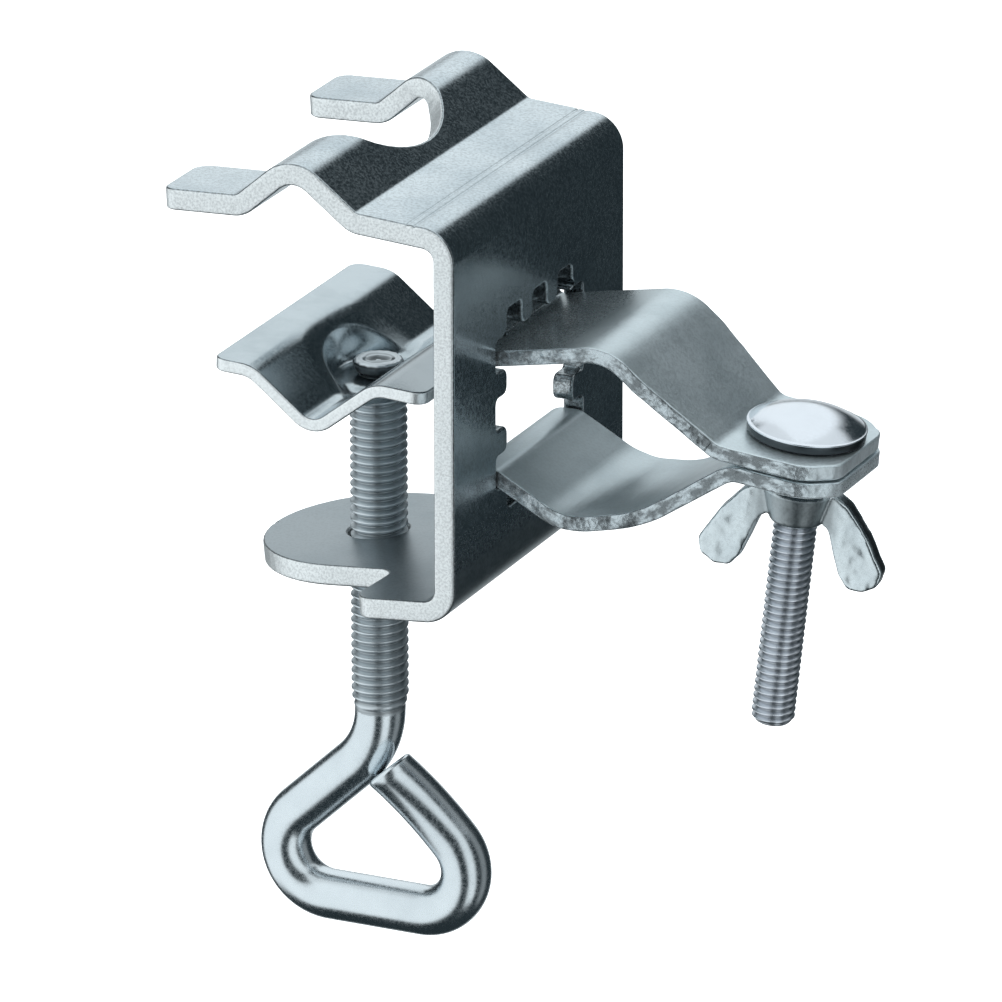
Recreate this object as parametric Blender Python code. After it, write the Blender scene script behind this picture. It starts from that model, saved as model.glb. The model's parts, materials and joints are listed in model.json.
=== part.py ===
"""Rail clamp with two strap jaws for a pole, built in metres with +Z up.

Design numbers are millimetres in a layout frame: X = 0 is the outer face of the
bracket's back plate, Y = 0 the middle plane, Z = 0 half way up the bracket.
DATUM is the layout point that becomes the world origin.
"""

import math

import bmesh
import bpy
from mathutils import Matrix, Vector

MM = 0.001
GAP = 0.3
DATUM = (-9.4, 0.0, 25.55)

# Rail bracket: corners of its outer face in (X, Z), from prong tip to tongue end
BRACKET_THICK = 3.0
BRACKET_HALF = 28.0
BRACKET_FACE = [
    (-43.4, 28.55),
    (-32.2, 29.05),
    (-23.9, 36.27),
    (-14.3, 28.9),
    (0.0, 27.9),
    (0.0, -27.6),
    (-40.4, -31.2),
]
BRACKET_BENDS = [3.0, 4.5, 3.0, 3.3, 3.3]
PRONG_GAP_HALF = 16.4
PRONG_GAP_END_X = -17.7
TONGUE_HALF = 16.0
TONGUE_START_X = -14.4
FOOT_FLARE = 1.0
SCREW_X = -24.4
FOOT_HOLE_R = 4.3

# Opening in the back plate: a square with three notches on each side
OPENING_Z = -2.2
TOOTH_LINE = 10.6
NOTCH_DEPTH = 3.6
NOTCH_HALF = 2.25
NOTCH_PITCH = 8.2

# Saddle under the rail: corners of its upper face
SADDLE_THICK = 1.8
SADDLE_HALF = 22.4
SADDLE_FACE = [
    (-38.8, 3.3),
    (-32.7, 3.0),
    (-23.8, -4.1),
    (-14.7, 3.0),
    (-7.0, 2.5),
]
SADDLE_BENDS = [3.0, 3.4, 3.0]
SADDLE_HOLE_R = 2.55
SEAT_RINGS = [8.4, 7.3, 6.2, 5.2, 4.3, SADDLE_HOLE_R]
SEAT_TOP_Z = -3.6

# Clamp screw
SCREW_THREAD_R = 4.0
SCREW_WIRE_R = 3.55
SCREW_NECK_R = 2.2
SCREW_SHOULDER_Z = -5.75
SCREW_THREAD_END_Z = -53.2
SCREW_HEAD = [(-2.3, 2.9), (-2.5, 3.25), (-2.9, 3.2), (-3.35, 2.2)]
HANDLE_CORNERS = [(SCREW_X, -58.5), (-49.7, -82.4), (-2.95, -82.4), (-22.2, -61.0)]
HANDLE_BENDS = [12.0, 7.0, 6.7]
HANDLE_END_SIDE = -2.2

# Strap jaws
JAW_THICK = 2.2
UPPER_WIDTHS = [(20.5, 13.8), (30.0, 11.4)]
LOWER_WIDTHS = [(9.5, 13.8), (20.0, 11.4)]
JAW_HALF_AT_PLATE = 13.8
JAW_HALF_AT_BOLT = 11.1
JAW_CORNER_CUT = 4.0
JAW_END_X = 47.6
HOOK_X = -3.0 - GAP - JAW_THICK / 2
UPPER_FACE = [(0.0, 7.0), (16.2, 9.95), (31.2, -2.64), (JAW_END_X, -4.44)]
UPPER_BENDS = [1.8, 7.0, 4.0]
UPPER_HOOK_TIP_Z = 11.6
LOWER_FACE = [(0.2, -10.3), (9.8, -15.55), (19.5, -14.0), (32.6, -5.31), (JAW_END_X, -6.96)]
LOWER_BENDS = [1.8, 1.8, 5.0, 9.0, 4.0]
LOWER_HOOK_TIP_Z = -18.2
UPPER_PIVOT = (-1.5, 5.5)
LOWER_PIVOT = (0.0, -12.4)

# Carriage bolt, washer and wing nut, measured along the bolt from the jaw's face
BOLT_X = 39.4
BOLT_TILT = math.atan2(UPPER_FACE[2][1] - UPPER_FACE[3][1], JAW_END_X - UPPER_FACE[2][0])
HEAD_R = 8.25
HEAD_RISE = 3.7
NECK_HALF = 2.95
NECK_HOLE_HALF = 3.25
BOLT_R = 3.0
BOLT_LENGTH = 42.2
SLOT_HALF_WIDTH = 3.6
SLOT_HALF_LENGTH = 5.4
WASHER_TOP = 2 * JAW_THICK + 2 * GAP
WASHER_THICK = 1.2
WASHER_R = 5.0
WASHER_HOLE_R = 3.3
NUT_TOP = WASHER_TOP + WASHER_THICK + GAP
HUB_TOP_R = 4.7
HUB_FOOT_R = 3.8
HUB_HEIGHT = 6.0
NUT_BORE_R = 3.3
NUT_REST_TURN = math.radians(8)
WING_HALF_THICK = 1.5
WING_OUTLINE = [
    (3.6, -1.2),
    (5.2, -1.0),
    (7.4, -2.4),
    (10.4, -6.2),
    (13.0, -10.8),
    (12.5, -13.0),
    (10.3, -14.2),
    (8.3, -14.1),
    (6.9, -12.2),
    (5.9, -9.4),
    (4.8, -6.0),
    (3.6, -5.2),
]


def clear_scene():
    for ob in list(bpy.data.objects):
        bpy.data.objects.remove(ob, do_unlink=True)


def metal(name, colour, roughness):
    """Plated steel with its own colour and roughness."""
    mat = bpy.data.materials.new(name)
    mat.use_nodes = True
    shader = mat.node_tree.nodes["Principled BSDF"]
    shader.inputs["Base Color"].default_value = (*colour, 1.0)
    shader.inputs["Roughness"].default_value = roughness
    shader.inputs["Metallic"].default_value = 1.0
    return mat


def turn_between(before, after):
    """Angle from one direction to the next, positive to the left."""
    cross = before.x * after.y - before.y * after.x
    return math.atan2(cross, before.dot(after))


def left_of(direction):
    return Vector((-direction.y, direction.x))


class BentPath:
    """A centre line in the XZ plane made of straight legs joined by arcs."""

    def __init__(self, corners, radii):
        points = [Vector(c) for c in corners]
        self.pieces = []
        self.length = 0.0
        here = points[0]
        for i, radius in enumerate(radii, start=1):
            before = (points[i] - points[i - 1]).normalized()
            after = (points[i + 1] - points[i]).normalized()
            turn = turn_between(before, after)
            setback = radius * math.tan(abs(turn) / 2)
            start = points[i] - before * setback
            self.add(here, before, (start - here).length, 0.0)
            self.add(start, before, radius * abs(turn), turn / (radius * abs(turn)))
            here = points[i] + after * setback
        last = points[-1] - here
        self.add(here, last.normalized(), last.length, 0.0)

    def add(self, start, direction, length, curvature):
        self.pieces.append((self.length, length, start, direction, curvature))
        self.length += length

    def at(self, s):
        """Point, direction at a length along the path."""
        piece = self.pieces[0]
        for candidate in self.pieces:
            if s >= candidate[0] - 1e-9:
                piece = candidate
        begin, _, start, direction, curvature = piece
        run = s - begin
        if curvature == 0.0:
            return start + direction * run, direction
        angle = run * curvature
        centre = start + left_of(direction) / curvature
        spin = Matrix.Rotation(angle, 2)
        return centre + spin @ (start - centre), spin @ direction

    def stations(self, step_angle):
        """Lengths at which the sheet needs an edge across it."""
        found = []
        for begin, length, _, _, curvature in self.pieces:
            if curvature == 0.0:
                continue
            count = max(2, round(abs(length * curvature) / step_angle))
            found += [begin + length * i / count for i in range(count + 1)]
        return found

    def where(self, axis, value, after=0.0):
        """First length past `after` at which X (0) or Z (1) crosses a value."""
        steps = 4000
        last = self.at(after)[0][axis] - value
        for i in range(1, steps + 1):
            s = after + (self.length - after) * i / steps
            now = self.at(s)[0][axis] - value
            if last * now <= 0:
                return s
            last = now
        raise ValueError(f"the path never reaches {value}")


def meet(a, b, c, d):
    """Crossing of the line through a and b with the line through c and d."""
    u, v, w = b - a, d - c, c - a
    return a + u * ((w.x * v.y - w.y * v.x) / (u.x * v.y - u.y * v.x))


def shifted(corners, distance):
    """Corners of the polyline that lies a distance to the left of another."""
    points = [Vector(c) for c in corners]
    legs = []
    for a, b in zip(points, points[1:]):
        side = left_of((b - a).normalized()) * distance
        legs.append((a + side, b + side))
    inner = [meet(*one, *two) for one, two in zip(legs, legs[1:])]
    return [legs[0][0], *inner, legs[-1][1]]


def rounded(corners, steps=4):
    """Closed outline from (x, y, radius) corners."""
    outline = []
    count = len(corners)
    for i, (x, y, radius) in enumerate(corners):
        here = Vector((x, y))
        if radius == 0:
            outline.append(here)
            continue
        before = (here - Vector(corners[i - 1][:2])).normalized()
        after = (Vector(corners[(i + 1) % count][:2]) - here).normalized()
        turn = turn_between(before, after)
        start = here - before * radius * math.tan(abs(turn) / 2)
        centre = start + left_of(before) * math.copysign(radius, turn)
        for k in range(steps + 1):
            spin = Matrix.Rotation(turn * k / steps, 2)
            outline.append(centre + spin @ (start - centre))
    return outline


def circle(x, y, radius, count=24):
    angles = [2 * math.pi * i / count for i in range(count)]
    return [Vector((x + radius * math.cos(a), y + radius * math.sin(a))) for a in angles]


def slot(x, y, half_length, half_width):
    return rounded(
        [
            (x - half_length, y - half_width, half_width * 0.999),
            (x + half_length, y - half_width, half_width * 0.999),
            (x + half_length, y + half_width, half_width * 0.999),
            (x - half_length, y + half_width, half_width * 0.999),
        ],
        steps=5,
    )


def flat_blank(outlines):
    """Flat faces in (s, y) inside the first outline and outside the others."""
    blank = bmesh.new()
    for outline in outlines:
        loop = [blank.verts.new((p.x, p.y, 0.0)) for p in outline]
        for i, vert in enumerate(loop):
            blank.edges.new((loop[i - 1], vert))
    bmesh.ops.remove_doubles(blank, verts=blank.verts, dist=1e-4)
    bmesh.ops.triangle_fill(blank, use_beauty=True, use_dissolve=True, edges=blank.edges)
    for face in blank.faces:
        if face.normal.z < 0:
            face.normal_flip()
    return blank


def add_rings(blank, x, radii):
    """Rings of faces that fill a round hole down to the last radius."""
    loops = []
    for radius in radii:
        loops.append([blank.verts.new((p.x, p.y, 0.0)) for p in circle(x, 0.0, radius)])
    for one, two in zip(loops, loops[1:]):
        for i in range(len(one)):
            blank.faces.new([one[i - 1], one[i], two[i], two[i - 1]])
    bmesh.ops.remove_doubles(blank, verts=blank.verts, dist=1e-4)
    for face in blank.faces:
        face.normal_update()
        if face.normal.z < 0:
            face.normal_flip()


def bend_blank(blank, path, thickness, step_angle, press=None):
    """Cut a blank across at every bend station, thicken it and bend it.

    press(s, y, t, place) may move a point after bending, as a stamped seat does.
    """
    for s in path.stations(step_angle):
        geometry = [*blank.verts, *blank.edges, *blank.faces]
        bmesh.ops.bisect_plane(
            blank, geom=geometry, plane_co=(s, 0, 0), plane_no=(1, 0, 0), dist=1e-5
        )
    solid = bmesh.new()
    skins = []
    for t in (-thickness / 2, thickness / 2):
        skin = {}
        for vert in blank.verts:
            point, direction = path.at(vert.co.x)
            place = point + left_of(direction) * t
            if press:
                place = press(vert.co.x, vert.co.y, t, place)
            skin[vert] = solid.verts.new((place.x * MM, vert.co.y * MM, place.y * MM))
        skins.append(skin)
    low, high = skins
    for face in blank.faces:
        solid.faces.new([high[v] for v in face.verts])
        solid.faces.new([low[v] for v in reversed(face.verts)])
    for edge in blank.edges:
        if edge.is_boundary:
            corner = edge.link_loops[0]
            a, b = corner.vert, corner.link_loop_next.vert
            solid.faces.new([low[a], low[b], high[b], high[a]])
    blank.free()
    return solid


def finish(bm, name, origin, mat, tilt=0.0):
    """Object from a mesh laid out in metres, with its origin at a layout point."""
    bmesh.ops.remove_doubles(bm, verts=bm.verts, dist=1e-7)
    bmesh.ops.recalc_face_normals(bm, faces=bm.faces)
    offset = Vector(origin) * MM
    bmesh.ops.translate(bm, vec=-offset, verts=bm.verts)
    bmesh.ops.triangulate(bm, faces=bm.faces)
    mesh = bpy.data.meshes.new(name)
    bm.to_mesh(mesh)
    bm.free()
    ob = bpy.data.objects.new(name, mesh)
    bpy.context.collection.objects.link(ob)
    ob.location = offset - Vector(DATUM) * MM
    ob.rotation_euler.y = tilt
    mesh.materials.append(mat)
    mesh.shade_smooth()
    mesh.set_sharp_from_angle(angle=math.radians(32))
    return ob


def loft(rings):
    """Closed body through rings that all have the same number of points."""
    bm = bmesh.new()
    loops = [[bm.verts.new(p) for p in ring] for ring in rings]
    count = len(loops[0])
    for one, two in zip(loops, loops[1:]):
        for i in range(count):
            j = (i + 1) % count
            bm.faces.new([one[i], one[j], two[j], two[i]])
    bm.faces.new(list(reversed(loops[0])))
    bm.faces.new(loops[-1])
    return bm


def ring_at(z, radius, count=32):
    """Circle of points at a height, in metres."""
    angles = [2 * math.pi * i / count for i in range(count)]
    return [Vector((radius * math.cos(a), radius * math.sin(a), z)) * MM for a in angles]


def square_ring(z, half, count=32):
    """Points on a square at a height, one on each ray of the matching circle."""
    points = []
    for i in range(count):
        a = 2 * math.pi * i / count
        reach = half / max(abs(math.cos(a)), abs(math.sin(a)))
        points.append(Vector((reach * math.cos(a), reach * math.sin(a), z)) * MM)
    return points


def opening_outline(middle):
    """Notched square, as seen in (s, y) with s running down the plate."""
    reach = TOOTH_LINE + NOTCH_DEPTH
    side = []
    for centre in (-NOTCH_PITCH, 0.0, NOTCH_PITCH):
        side += [
            (centre - NOTCH_HALF, TOOTH_LINE, 0.8),
            (centre - NOTCH_HALF, reach, 0.8),
            (centre + NOTCH_HALF, reach, 0.8),
            (centre + NOTCH_HALF, TOOTH_LINE, 0.8),
        ]
    side[0] = (-TOOTH_LINE, TOOTH_LINE, 0.0)
    side[1] = (-TOOTH_LINE, reach, 0.8)
    side[-2] = (TOOTH_LINE, reach, 0.8)
    del side[-1]
    corners = []
    for cos, sin in ((1, 0), (0, 1), (-1, 0), (0, -1)):
        for x, y, radius in side:
            corners.append((x * cos + y * sin, y * cos - x * sin, radius))
    return [Vector((middle + p.x, p.y)) for p in rounded(corners, steps=2)]


def rail_bracket(mat):
    path = BentPath(shifted(BRACKET_FACE, -BRACKET_THICK / 2), BRACKET_BENDS)
    plate = path.where(1, 0.0)
    gap_end = path.where(0, PRONG_GAP_END_X)
    tongue = path.where(0, TONGUE_START_X, after=plate)
    screw = path.where(0, SCREW_X, after=plate)
    end = screw + TONGUE_HALF
    outline = rounded(
        [
            (0.0, BRACKET_HALF, 2.0),
            (0.0, PRONG_GAP_HALF, 2.5),
            (gap_end, PRONG_GAP_HALF, PRONG_GAP_HALF * 0.999),
            (gap_end, -PRONG_GAP_HALF, PRONG_GAP_HALF * 0.999),
            (0.0, -PRONG_GAP_HALF, 2.5),
            (0.0, -BRACKET_HALF, 2.0),
            (tongue + FOOT_FLARE, -BRACKET_HALF, 2.8),
            (tongue, -TONGUE_HALF, 2.0),
            (end, -TONGUE_HALF, TONGUE_HALF * 0.999),
            (end, TONGUE_HALF, TONGUE_HALF * 0.999),
            (tongue, TONGUE_HALF, 2.0),
            (tongue + FOOT_FLARE, BRACKET_HALF, 2.8),
        ],
        steps=6,
    )
    opening = opening_outline(path.where(1, OPENING_Z, after=plate - 10))
    hole = circle(screw, 0.0, FOOT_HOLE_R)
    bm = bend_blank(flat_blank([outline, opening, hole]), path, BRACKET_THICK, math.radians(13))
    return finish(bm, "rail_bracket", DATUM, mat)


def pressure_saddle(mat):
    path = BentPath(shifted(SADDLE_FACE, -SADDLE_THICK / 2), SADDLE_BENDS)
    outline = rounded(
        [
            (0.0, -SADDLE_HALF, 2.0),
            (path.length, -SADDLE_HALF, 2.0),
            (path.length, SADDLE_HALF, 2.0),
            (0.0, SADDLE_HALF, 2.0),
        ]
    )
    hole = path.where(0, SCREW_X)
    blank = flat_blank([outline, circle(hole, 0.0, SEAT_RINGS[0])])
    add_rings(blank, hole, SEAT_RINGS)

    def press(s, y, t, place):
        """Flatten the V round the screw, fading out over the seat's width."""
        reach = math.hypot(s - hole, y)
        share = (SEAT_RINGS[0] - reach) / (SEAT_RINGS[0] - SEAT_RINGS[-2])
        share = min(1.0, max(0.0, share))
        share = share * share * (3 - 2 * share)
        flat = Vector((SCREW_X + s - hole, SEAT_TOP_Z - SADDLE_THICK / 2 + t))
        return place.lerp(flat, share)

    bm = bend_blank(blank, path, SADDLE_THICK, math.radians(13), press)
    return finish(bm, "pressure_saddle", (SCREW_X, 0.0, -4.2), mat)


def clamp_screw(mat):
    """Threaded rod bent into a loop handle, with its end peened over the saddle."""
    path = BentPath([(SCREW_X, SCREW_HEAD[0][0]), *HANDLE_CORNERS], HANDLE_BENDS)
    top = SCREW_HEAD[0][0]
    sections = [(top - z, radius) for z, radius in SCREW_HEAD]
    sections += [
        (top - SCREW_SHOULDER_Z, SCREW_NECK_R),
        (top - SCREW_SHOULDER_Z, SCREW_THREAD_R - 0.8),
        (top - SCREW_SHOULDER_Z + 0.8, SCREW_THREAD_R),
        (top - SCREW_THREAD_END_Z, SCREW_THREAD_R),
        (top - SCREW_THREAD_END_Z, SCREW_WIRE_R),
    ]
    stations = path.stations(math.radians(13))
    leg = path.length - 0.5 - stations[-1]
    stations += [stations[-1] + leg * share for share in (0.25, 0.5, 0.75, 1.0)]
    sections += [(s, SCREW_WIRE_R) for s in stations]
    sections.append((path.length, SCREW_WIRE_R - 0.5))
    rings = []
    for s, radius in sections:
        point, direction = path.at(s)
        side = left_of(direction)
        aside = HANDLE_END_SIDE * max(0.0, 1 - (path.length - s) / leg) ** 2
        ring = []
        for i in range(24):
            angle = 2 * math.pi * i / 24
            across = side * (radius * math.cos(angle))
            y = aside + radius * math.sin(angle)
            spot = Vector((point.x + across.x, y, point.y + across.y))
            ring.append(spot * MM)
        rings.append(ring)
    return finish(loft(rings), "clamp_screw", (SCREW_X, 0.0, SCREW_SHOULDER_Z), mat)


def jaw_outline(path, widths):
    """Strap outline: wide from the hook to the first bend, narrow at the bolt."""
    end = path.length
    side = [(0.0, JAW_HALF_AT_PLATE, 1.5)]
    side += [(path.where(0, x), half, 6.0) for x, half in widths]
    side.append((end - JAW_CORNER_CUT, JAW_HALF_AT_BOLT, 2.0))
    side.append((end, JAW_HALF_AT_BOLT - JAW_CORNER_CUT, 2.0))
    near = [(s, -half, radius) for s, half, radius in side]
    return rounded(near + side[::-1])


def strap_path(face, hook_tip, bends):
    """Centre line of a strap whose first leg is a hook behind the back plate."""
    line = shifted(face, -JAW_THICK / 2)
    down = Vector((HOOK_X, -100.0))
    up = Vector((HOOK_X, 100.0))
    if len(bends) == len(face):
        tail = Vector((HOOK_X - 1.0, line[0].y))
        corner = Vector((HOOK_X, line[0].y))
        line[0] = meet(tail, corner, line[0] + (line[0] - line[1]), line[1])
        return BentPath([(HOOK_X, hook_tip), corner, *line], bends)
    corner = meet(down, up, line[0], line[1])
    return BentPath([(HOOK_X, hook_tip), corner, *line[1:]], bends)


def upper_jaw(mat):
    path = strap_path(UPPER_FACE, UPPER_HOOK_TIP_Z, UPPER_BENDS)
    sink = JAW_THICK / 2 * math.sin(BOLT_TILT)
    hole = path.where(0, BOLT_X - sink)
    half = NECK_HOLE_HALF
    corners = [(hole - half, -half), (hole + half, -half), (hole + half, half), (hole - half, half)]
    square = rounded([(*corner, 0.3) for corner in corners], steps=2)
    blank = flat_blank([jaw_outline(path, UPPER_WIDTHS), square])
    bm = bend_blank(blank, path, JAW_THICK, math.radians(12))
    return finish(bm, "upper_jaw", (UPPER_PIVOT[0], 0.0, UPPER_PIVOT[1]), mat)


def lower_jaw(mat):
    path = strap_path(LOWER_FACE, LOWER_HOOK_TIP_Z, LOWER_BENDS)
    sink = (JAW_THICK * 1.5 + GAP) * math.sin(BOLT_TILT)
    hole = path.where(0, BOLT_X - sink)
    outline = jaw_outline(path, LOWER_WIDTHS)
    long_slot = slot(hole, 0.0, SLOT_HALF_LENGTH, SLOT_HALF_WIDTH)
    bm = bend_blank(flat_blank([outline, long_slot]), path, JAW_THICK, math.radians(12))
    return finish(bm, "lower_jaw", (LOWER_PIVOT[0], 0.0, LOWER_PIVOT[1]), mat)


def on_bolt(distance):
    """Layout point on the bolt's axis, a distance below the upper jaw's face."""
    seat = UPPER_FACE[2][1] - (BOLT_X - UPPER_FACE[2][0]) * math.tan(BOLT_TILT)
    drop = distance * math.cos(BOLT_TILT)
    return (BOLT_X - distance * math.sin(BOLT_TILT), 0.0, seat - drop)


def place_on_bolt(bm, name, distance, mat):
    """Object from a mesh laid out about the bolt's axis, with the jaw's face at 0."""
    bmesh.ops.translate(bm, vec=Vector((0, 0, distance * MM)), verts=bm.verts)
    spot = on_bolt(distance)
    bmesh.ops.translate(bm, vec=Vector(spot) * MM, verts=bm.verts)
    return finish(bm, name, spot, mat, tilt=BOLT_TILT)


def carriage_bolt(mat):
    sphere = (HEAD_R**2 + HEAD_RISE**2) / (2 * HEAD_RISE)
    rings = []
    for share in (0.15, 0.4, 0.62, 0.8, 0.93):
        radius = HEAD_R * share
        rise = math.sqrt(sphere**2 - radius**2) - (sphere - HEAD_RISE)
        rings.append(ring_at(rise + GAP, radius))
    rings.append(ring_at(0.45 + GAP, HEAD_R))
    rings.append(ring_at(GAP, HEAD_R - 0.2))
    rings.append(square_ring(GAP, NECK_HALF))
    rings.append(square_ring(-JAW_THICK, NECK_HALF))
    rings.append(ring_at(-JAW_THICK, BOLT_R - 0.1))
    rings.append(ring_at(-JAW_THICK - 0.1, BOLT_R))
    rings.append(ring_at(-BOLT_LENGTH + 0.7, BOLT_R))
    rings.append(ring_at(-BOLT_LENGTH, BOLT_R - 0.7))
    return place_on_bolt(loft(rings), "carriage_bolt", 0.0, mat)


def washer(mat):
    bm = bmesh.new()
    top, foot = -WASHER_TOP, -WASHER_TOP - WASHER_THICK
    spots = [(top, WASHER_HOLE_R), (foot, WASHER_HOLE_R), (foot, WASHER_R), (top, WASHER_R)]
    loops = [[bm.verts.new(p) for p in ring_at(*spot)] for spot in spots]
    for k, loop in enumerate(loops):
        after = loops[(k + 1) % 4]
        for i in range(32):
            j = (i + 1) % 32
            bm.faces.new([loop[i], loop[j], after[j], after[i]])
    return place_on_bolt(bm, "washer", WASHER_TOP, mat)


def scratch(bm, name):
    """Loose object used only by a Boolean."""
    bmesh.ops.recalc_face_normals(bm, faces=bm.faces)
    mesh = bpy.data.meshes.new(name)
    bm.to_mesh(mesh)
    bm.free()
    ob = bpy.data.objects.new(name, mesh)
    bpy.context.collection.objects.link(ob)
    return ob


def wing_nut(mat):
    """Tapered hub with two wings that hang down past it, bored through."""
    corners = [(x, z, 0.9) for x, z in WING_OUTLINE]
    corners[0] = (*WING_OUTLINE[0], 0.0)
    corners[-1] = (*WING_OUTLINE[-1], 0.0)
    blades = []
    for sign in (1, -1):
        blade = bmesh.new()
        outline = rounded(corners, steps=3)
        sides = []
        for y in (-WING_HALF_THICK, WING_HALF_THICK):
            sides.append([blade.verts.new(Vector((sign * p.x, y, p.y)) * MM) for p in outline])
        near, far = sides
        for i in range(len(near)):
            j = (i + 1) % len(near)
            blade.faces.new([near[i], near[j], far[j], far[i]])
        blade.faces.new(list(reversed(near)))
        blade.faces.new(far)
        blades.append(scratch(blade, "blade"))
    rings = [ring_at(0.0, HUB_TOP_R), ring_at(-1.6, HUB_TOP_R), ring_at(-HUB_HEIGHT, HUB_FOOT_R)]
    hub = scratch(loft(rings), "hub")
    bore = scratch(loft([ring_at(5.0, NUT_BORE_R), ring_at(-20.0, NUT_BORE_R)]), "bore")
    for tool, action in ((blades[0], "UNION"), (blades[1], "UNION"), (bore, "DIFFERENCE")):
        cut = hub.modifiers.new(action, "BOOLEAN")
        cut.operation = action
        cut.solver = "EXACT"
        cut.object = tool
    bpy.context.view_layer.update()
    graph = bpy.context.evaluated_depsgraph_get()
    bm = bmesh.new()
    bm.from_mesh(hub.evaluated_get(graph).to_mesh())
    for ob in (*blades, bore, hub):
        bpy.data.objects.remove(ob, do_unlink=True)
    turn = Matrix.Rotation(NUT_REST_TURN, 3, "Z")
    bmesh.ops.rotate(bm, cent=(0, 0, 0), matrix=turn, verts=bm.verts)
    bmesh.ops.translate(bm, vec=(0, 0, -NUT_TOP * MM), verts=bm.verts)
    return place_on_bolt(bm, "wing_nut", NUT_TOP, mat)


def main():
    clear_scene()
    rail_bracket(metal("bracket_zinc", (0.56, 0.59, 0.62), 0.3))
    pressure_saddle(metal("saddle_zinc", (0.6, 0.62, 0.64), 0.28))
    clamp_screw(metal("screw_zinc", (0.58, 0.6, 0.62), 0.22))
    upper_jaw(metal("upper_jaw_zinc", (0.52, 0.56, 0.59), 0.32))
    lower_jaw(metal("lower_jaw_zinc", (0.52, 0.56, 0.58), 0.32))
    carriage_bolt(metal("bolt_zinc", (0.62, 0.65, 0.69), 0.2))
    washer(metal("washer_zinc", (0.66, 0.68, 0.7), 0.25))
    wing_nut(metal("nut_zinc", (0.64, 0.66, 0.68), 0.4))


main()
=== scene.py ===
"""Looks of the rail clamp: bright zinc-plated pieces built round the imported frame.

Numbers are millimetres in the layout frame of the design: X = 0 is the outer face of the
bracket's back plate, Y = 0 the middle plane, Z = 0 half way up the bracket. The record's
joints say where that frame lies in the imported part: DATUM is the world's origin in it.
"""

import json
import math
from dataclasses import dataclass

import bmesh
import bpy
from mathutils import Matrix, Vector, noise


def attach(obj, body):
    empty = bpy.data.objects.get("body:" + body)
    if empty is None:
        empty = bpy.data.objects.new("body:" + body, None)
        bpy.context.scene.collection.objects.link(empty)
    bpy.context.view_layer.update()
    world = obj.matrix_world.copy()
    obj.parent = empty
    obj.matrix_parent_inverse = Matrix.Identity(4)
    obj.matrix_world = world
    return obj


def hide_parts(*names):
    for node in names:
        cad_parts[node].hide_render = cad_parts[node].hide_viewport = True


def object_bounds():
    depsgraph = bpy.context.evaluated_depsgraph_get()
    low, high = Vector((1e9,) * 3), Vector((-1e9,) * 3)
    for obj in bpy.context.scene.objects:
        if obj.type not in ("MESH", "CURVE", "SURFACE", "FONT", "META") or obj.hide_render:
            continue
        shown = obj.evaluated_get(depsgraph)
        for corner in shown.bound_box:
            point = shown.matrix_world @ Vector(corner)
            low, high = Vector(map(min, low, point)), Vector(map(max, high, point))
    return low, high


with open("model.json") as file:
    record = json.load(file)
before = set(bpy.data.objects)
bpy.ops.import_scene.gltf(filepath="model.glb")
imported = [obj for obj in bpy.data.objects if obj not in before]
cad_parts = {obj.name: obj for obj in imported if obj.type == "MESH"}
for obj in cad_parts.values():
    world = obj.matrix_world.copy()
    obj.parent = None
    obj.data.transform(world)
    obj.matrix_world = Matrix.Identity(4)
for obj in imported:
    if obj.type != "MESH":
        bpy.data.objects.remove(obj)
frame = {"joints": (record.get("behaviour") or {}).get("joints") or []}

CAD_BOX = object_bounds()
MM = 0.001
JOINTS = {joint["name"]: joint for joint in frame["joints"]}

# Rail bracket
BRACKET_THICK = 3.0
BRACKET_HALF = 28.0
BRACKET_FACE = [
    (-43.4, 28.55),
    (-32.2, 29.05),
    (-23.9, 36.27),
    (-14.3, 28.9),
    (0.0, 27.9),
    (0.0, -27.6),
    (-40.4, -31.2),
]
BRACKET_BENDS = [3.0, 4.5, 3.0, 3.3, 3.3]
CORNER_R = 2.0
PRONG_GAP_HALF = 16.4
PRONG_GAP_END_X = -17.7
PRONG_MOUTH_R = 2.5
TONGUE_HALF = 16.0
TONGUE_START_X = -14.4
TONGUE_ROOT_R = 2.0
FOOT_FLARE = 1.0
FOOT_CORNER_R = 2.8
FOOT_HOLE_R = 4.3
TOP_STRIP_X = -14.0
ROLL_LINES_X = [-7.0, -5.9]
ROLL_LINE_DEPTH = 0.14
ROLL_LINE_HALF = 0.3

# Opening in the back plate
OPENING_Z = -2.2
TOOTH_LINE = 10.6
NOTCH_DEPTH = 3.6
NOTCH_HALF = 2.25
NOTCH_PITCH = 8.2
NOTCH_ROUND = 0.8
TOOTH_ROUND = 1.2
OPENING_MARGIN = 1.0
# Share of torn cut round the opening: the low share makes its walls smoother and paints them dark
# as shade in the notches
OPENING_SMOOTH_SHADED = 0.3

# Saddle
SADDLE_THICK = 1.8
SADDLE_HALF = 22.4
SADDLE_FACE = [(-38.8, 3.3), (-32.7, 3.0), (-23.8, -4.1), (-14.7, 3.0), (-7.0, 2.5)]
SADDLE_BENDS = [4.5, 3.4, 4.5]
SADDLE_HOLE_R = 2.55
SEAT_R = 10.0
SEAT_FLAT_R = 5.2
SEAT_TOP_Z = -3.95
DIP_FROM_R = 6.0
DIP_TO_R = 13.0
DIP_DEPTH = 1.3

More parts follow.
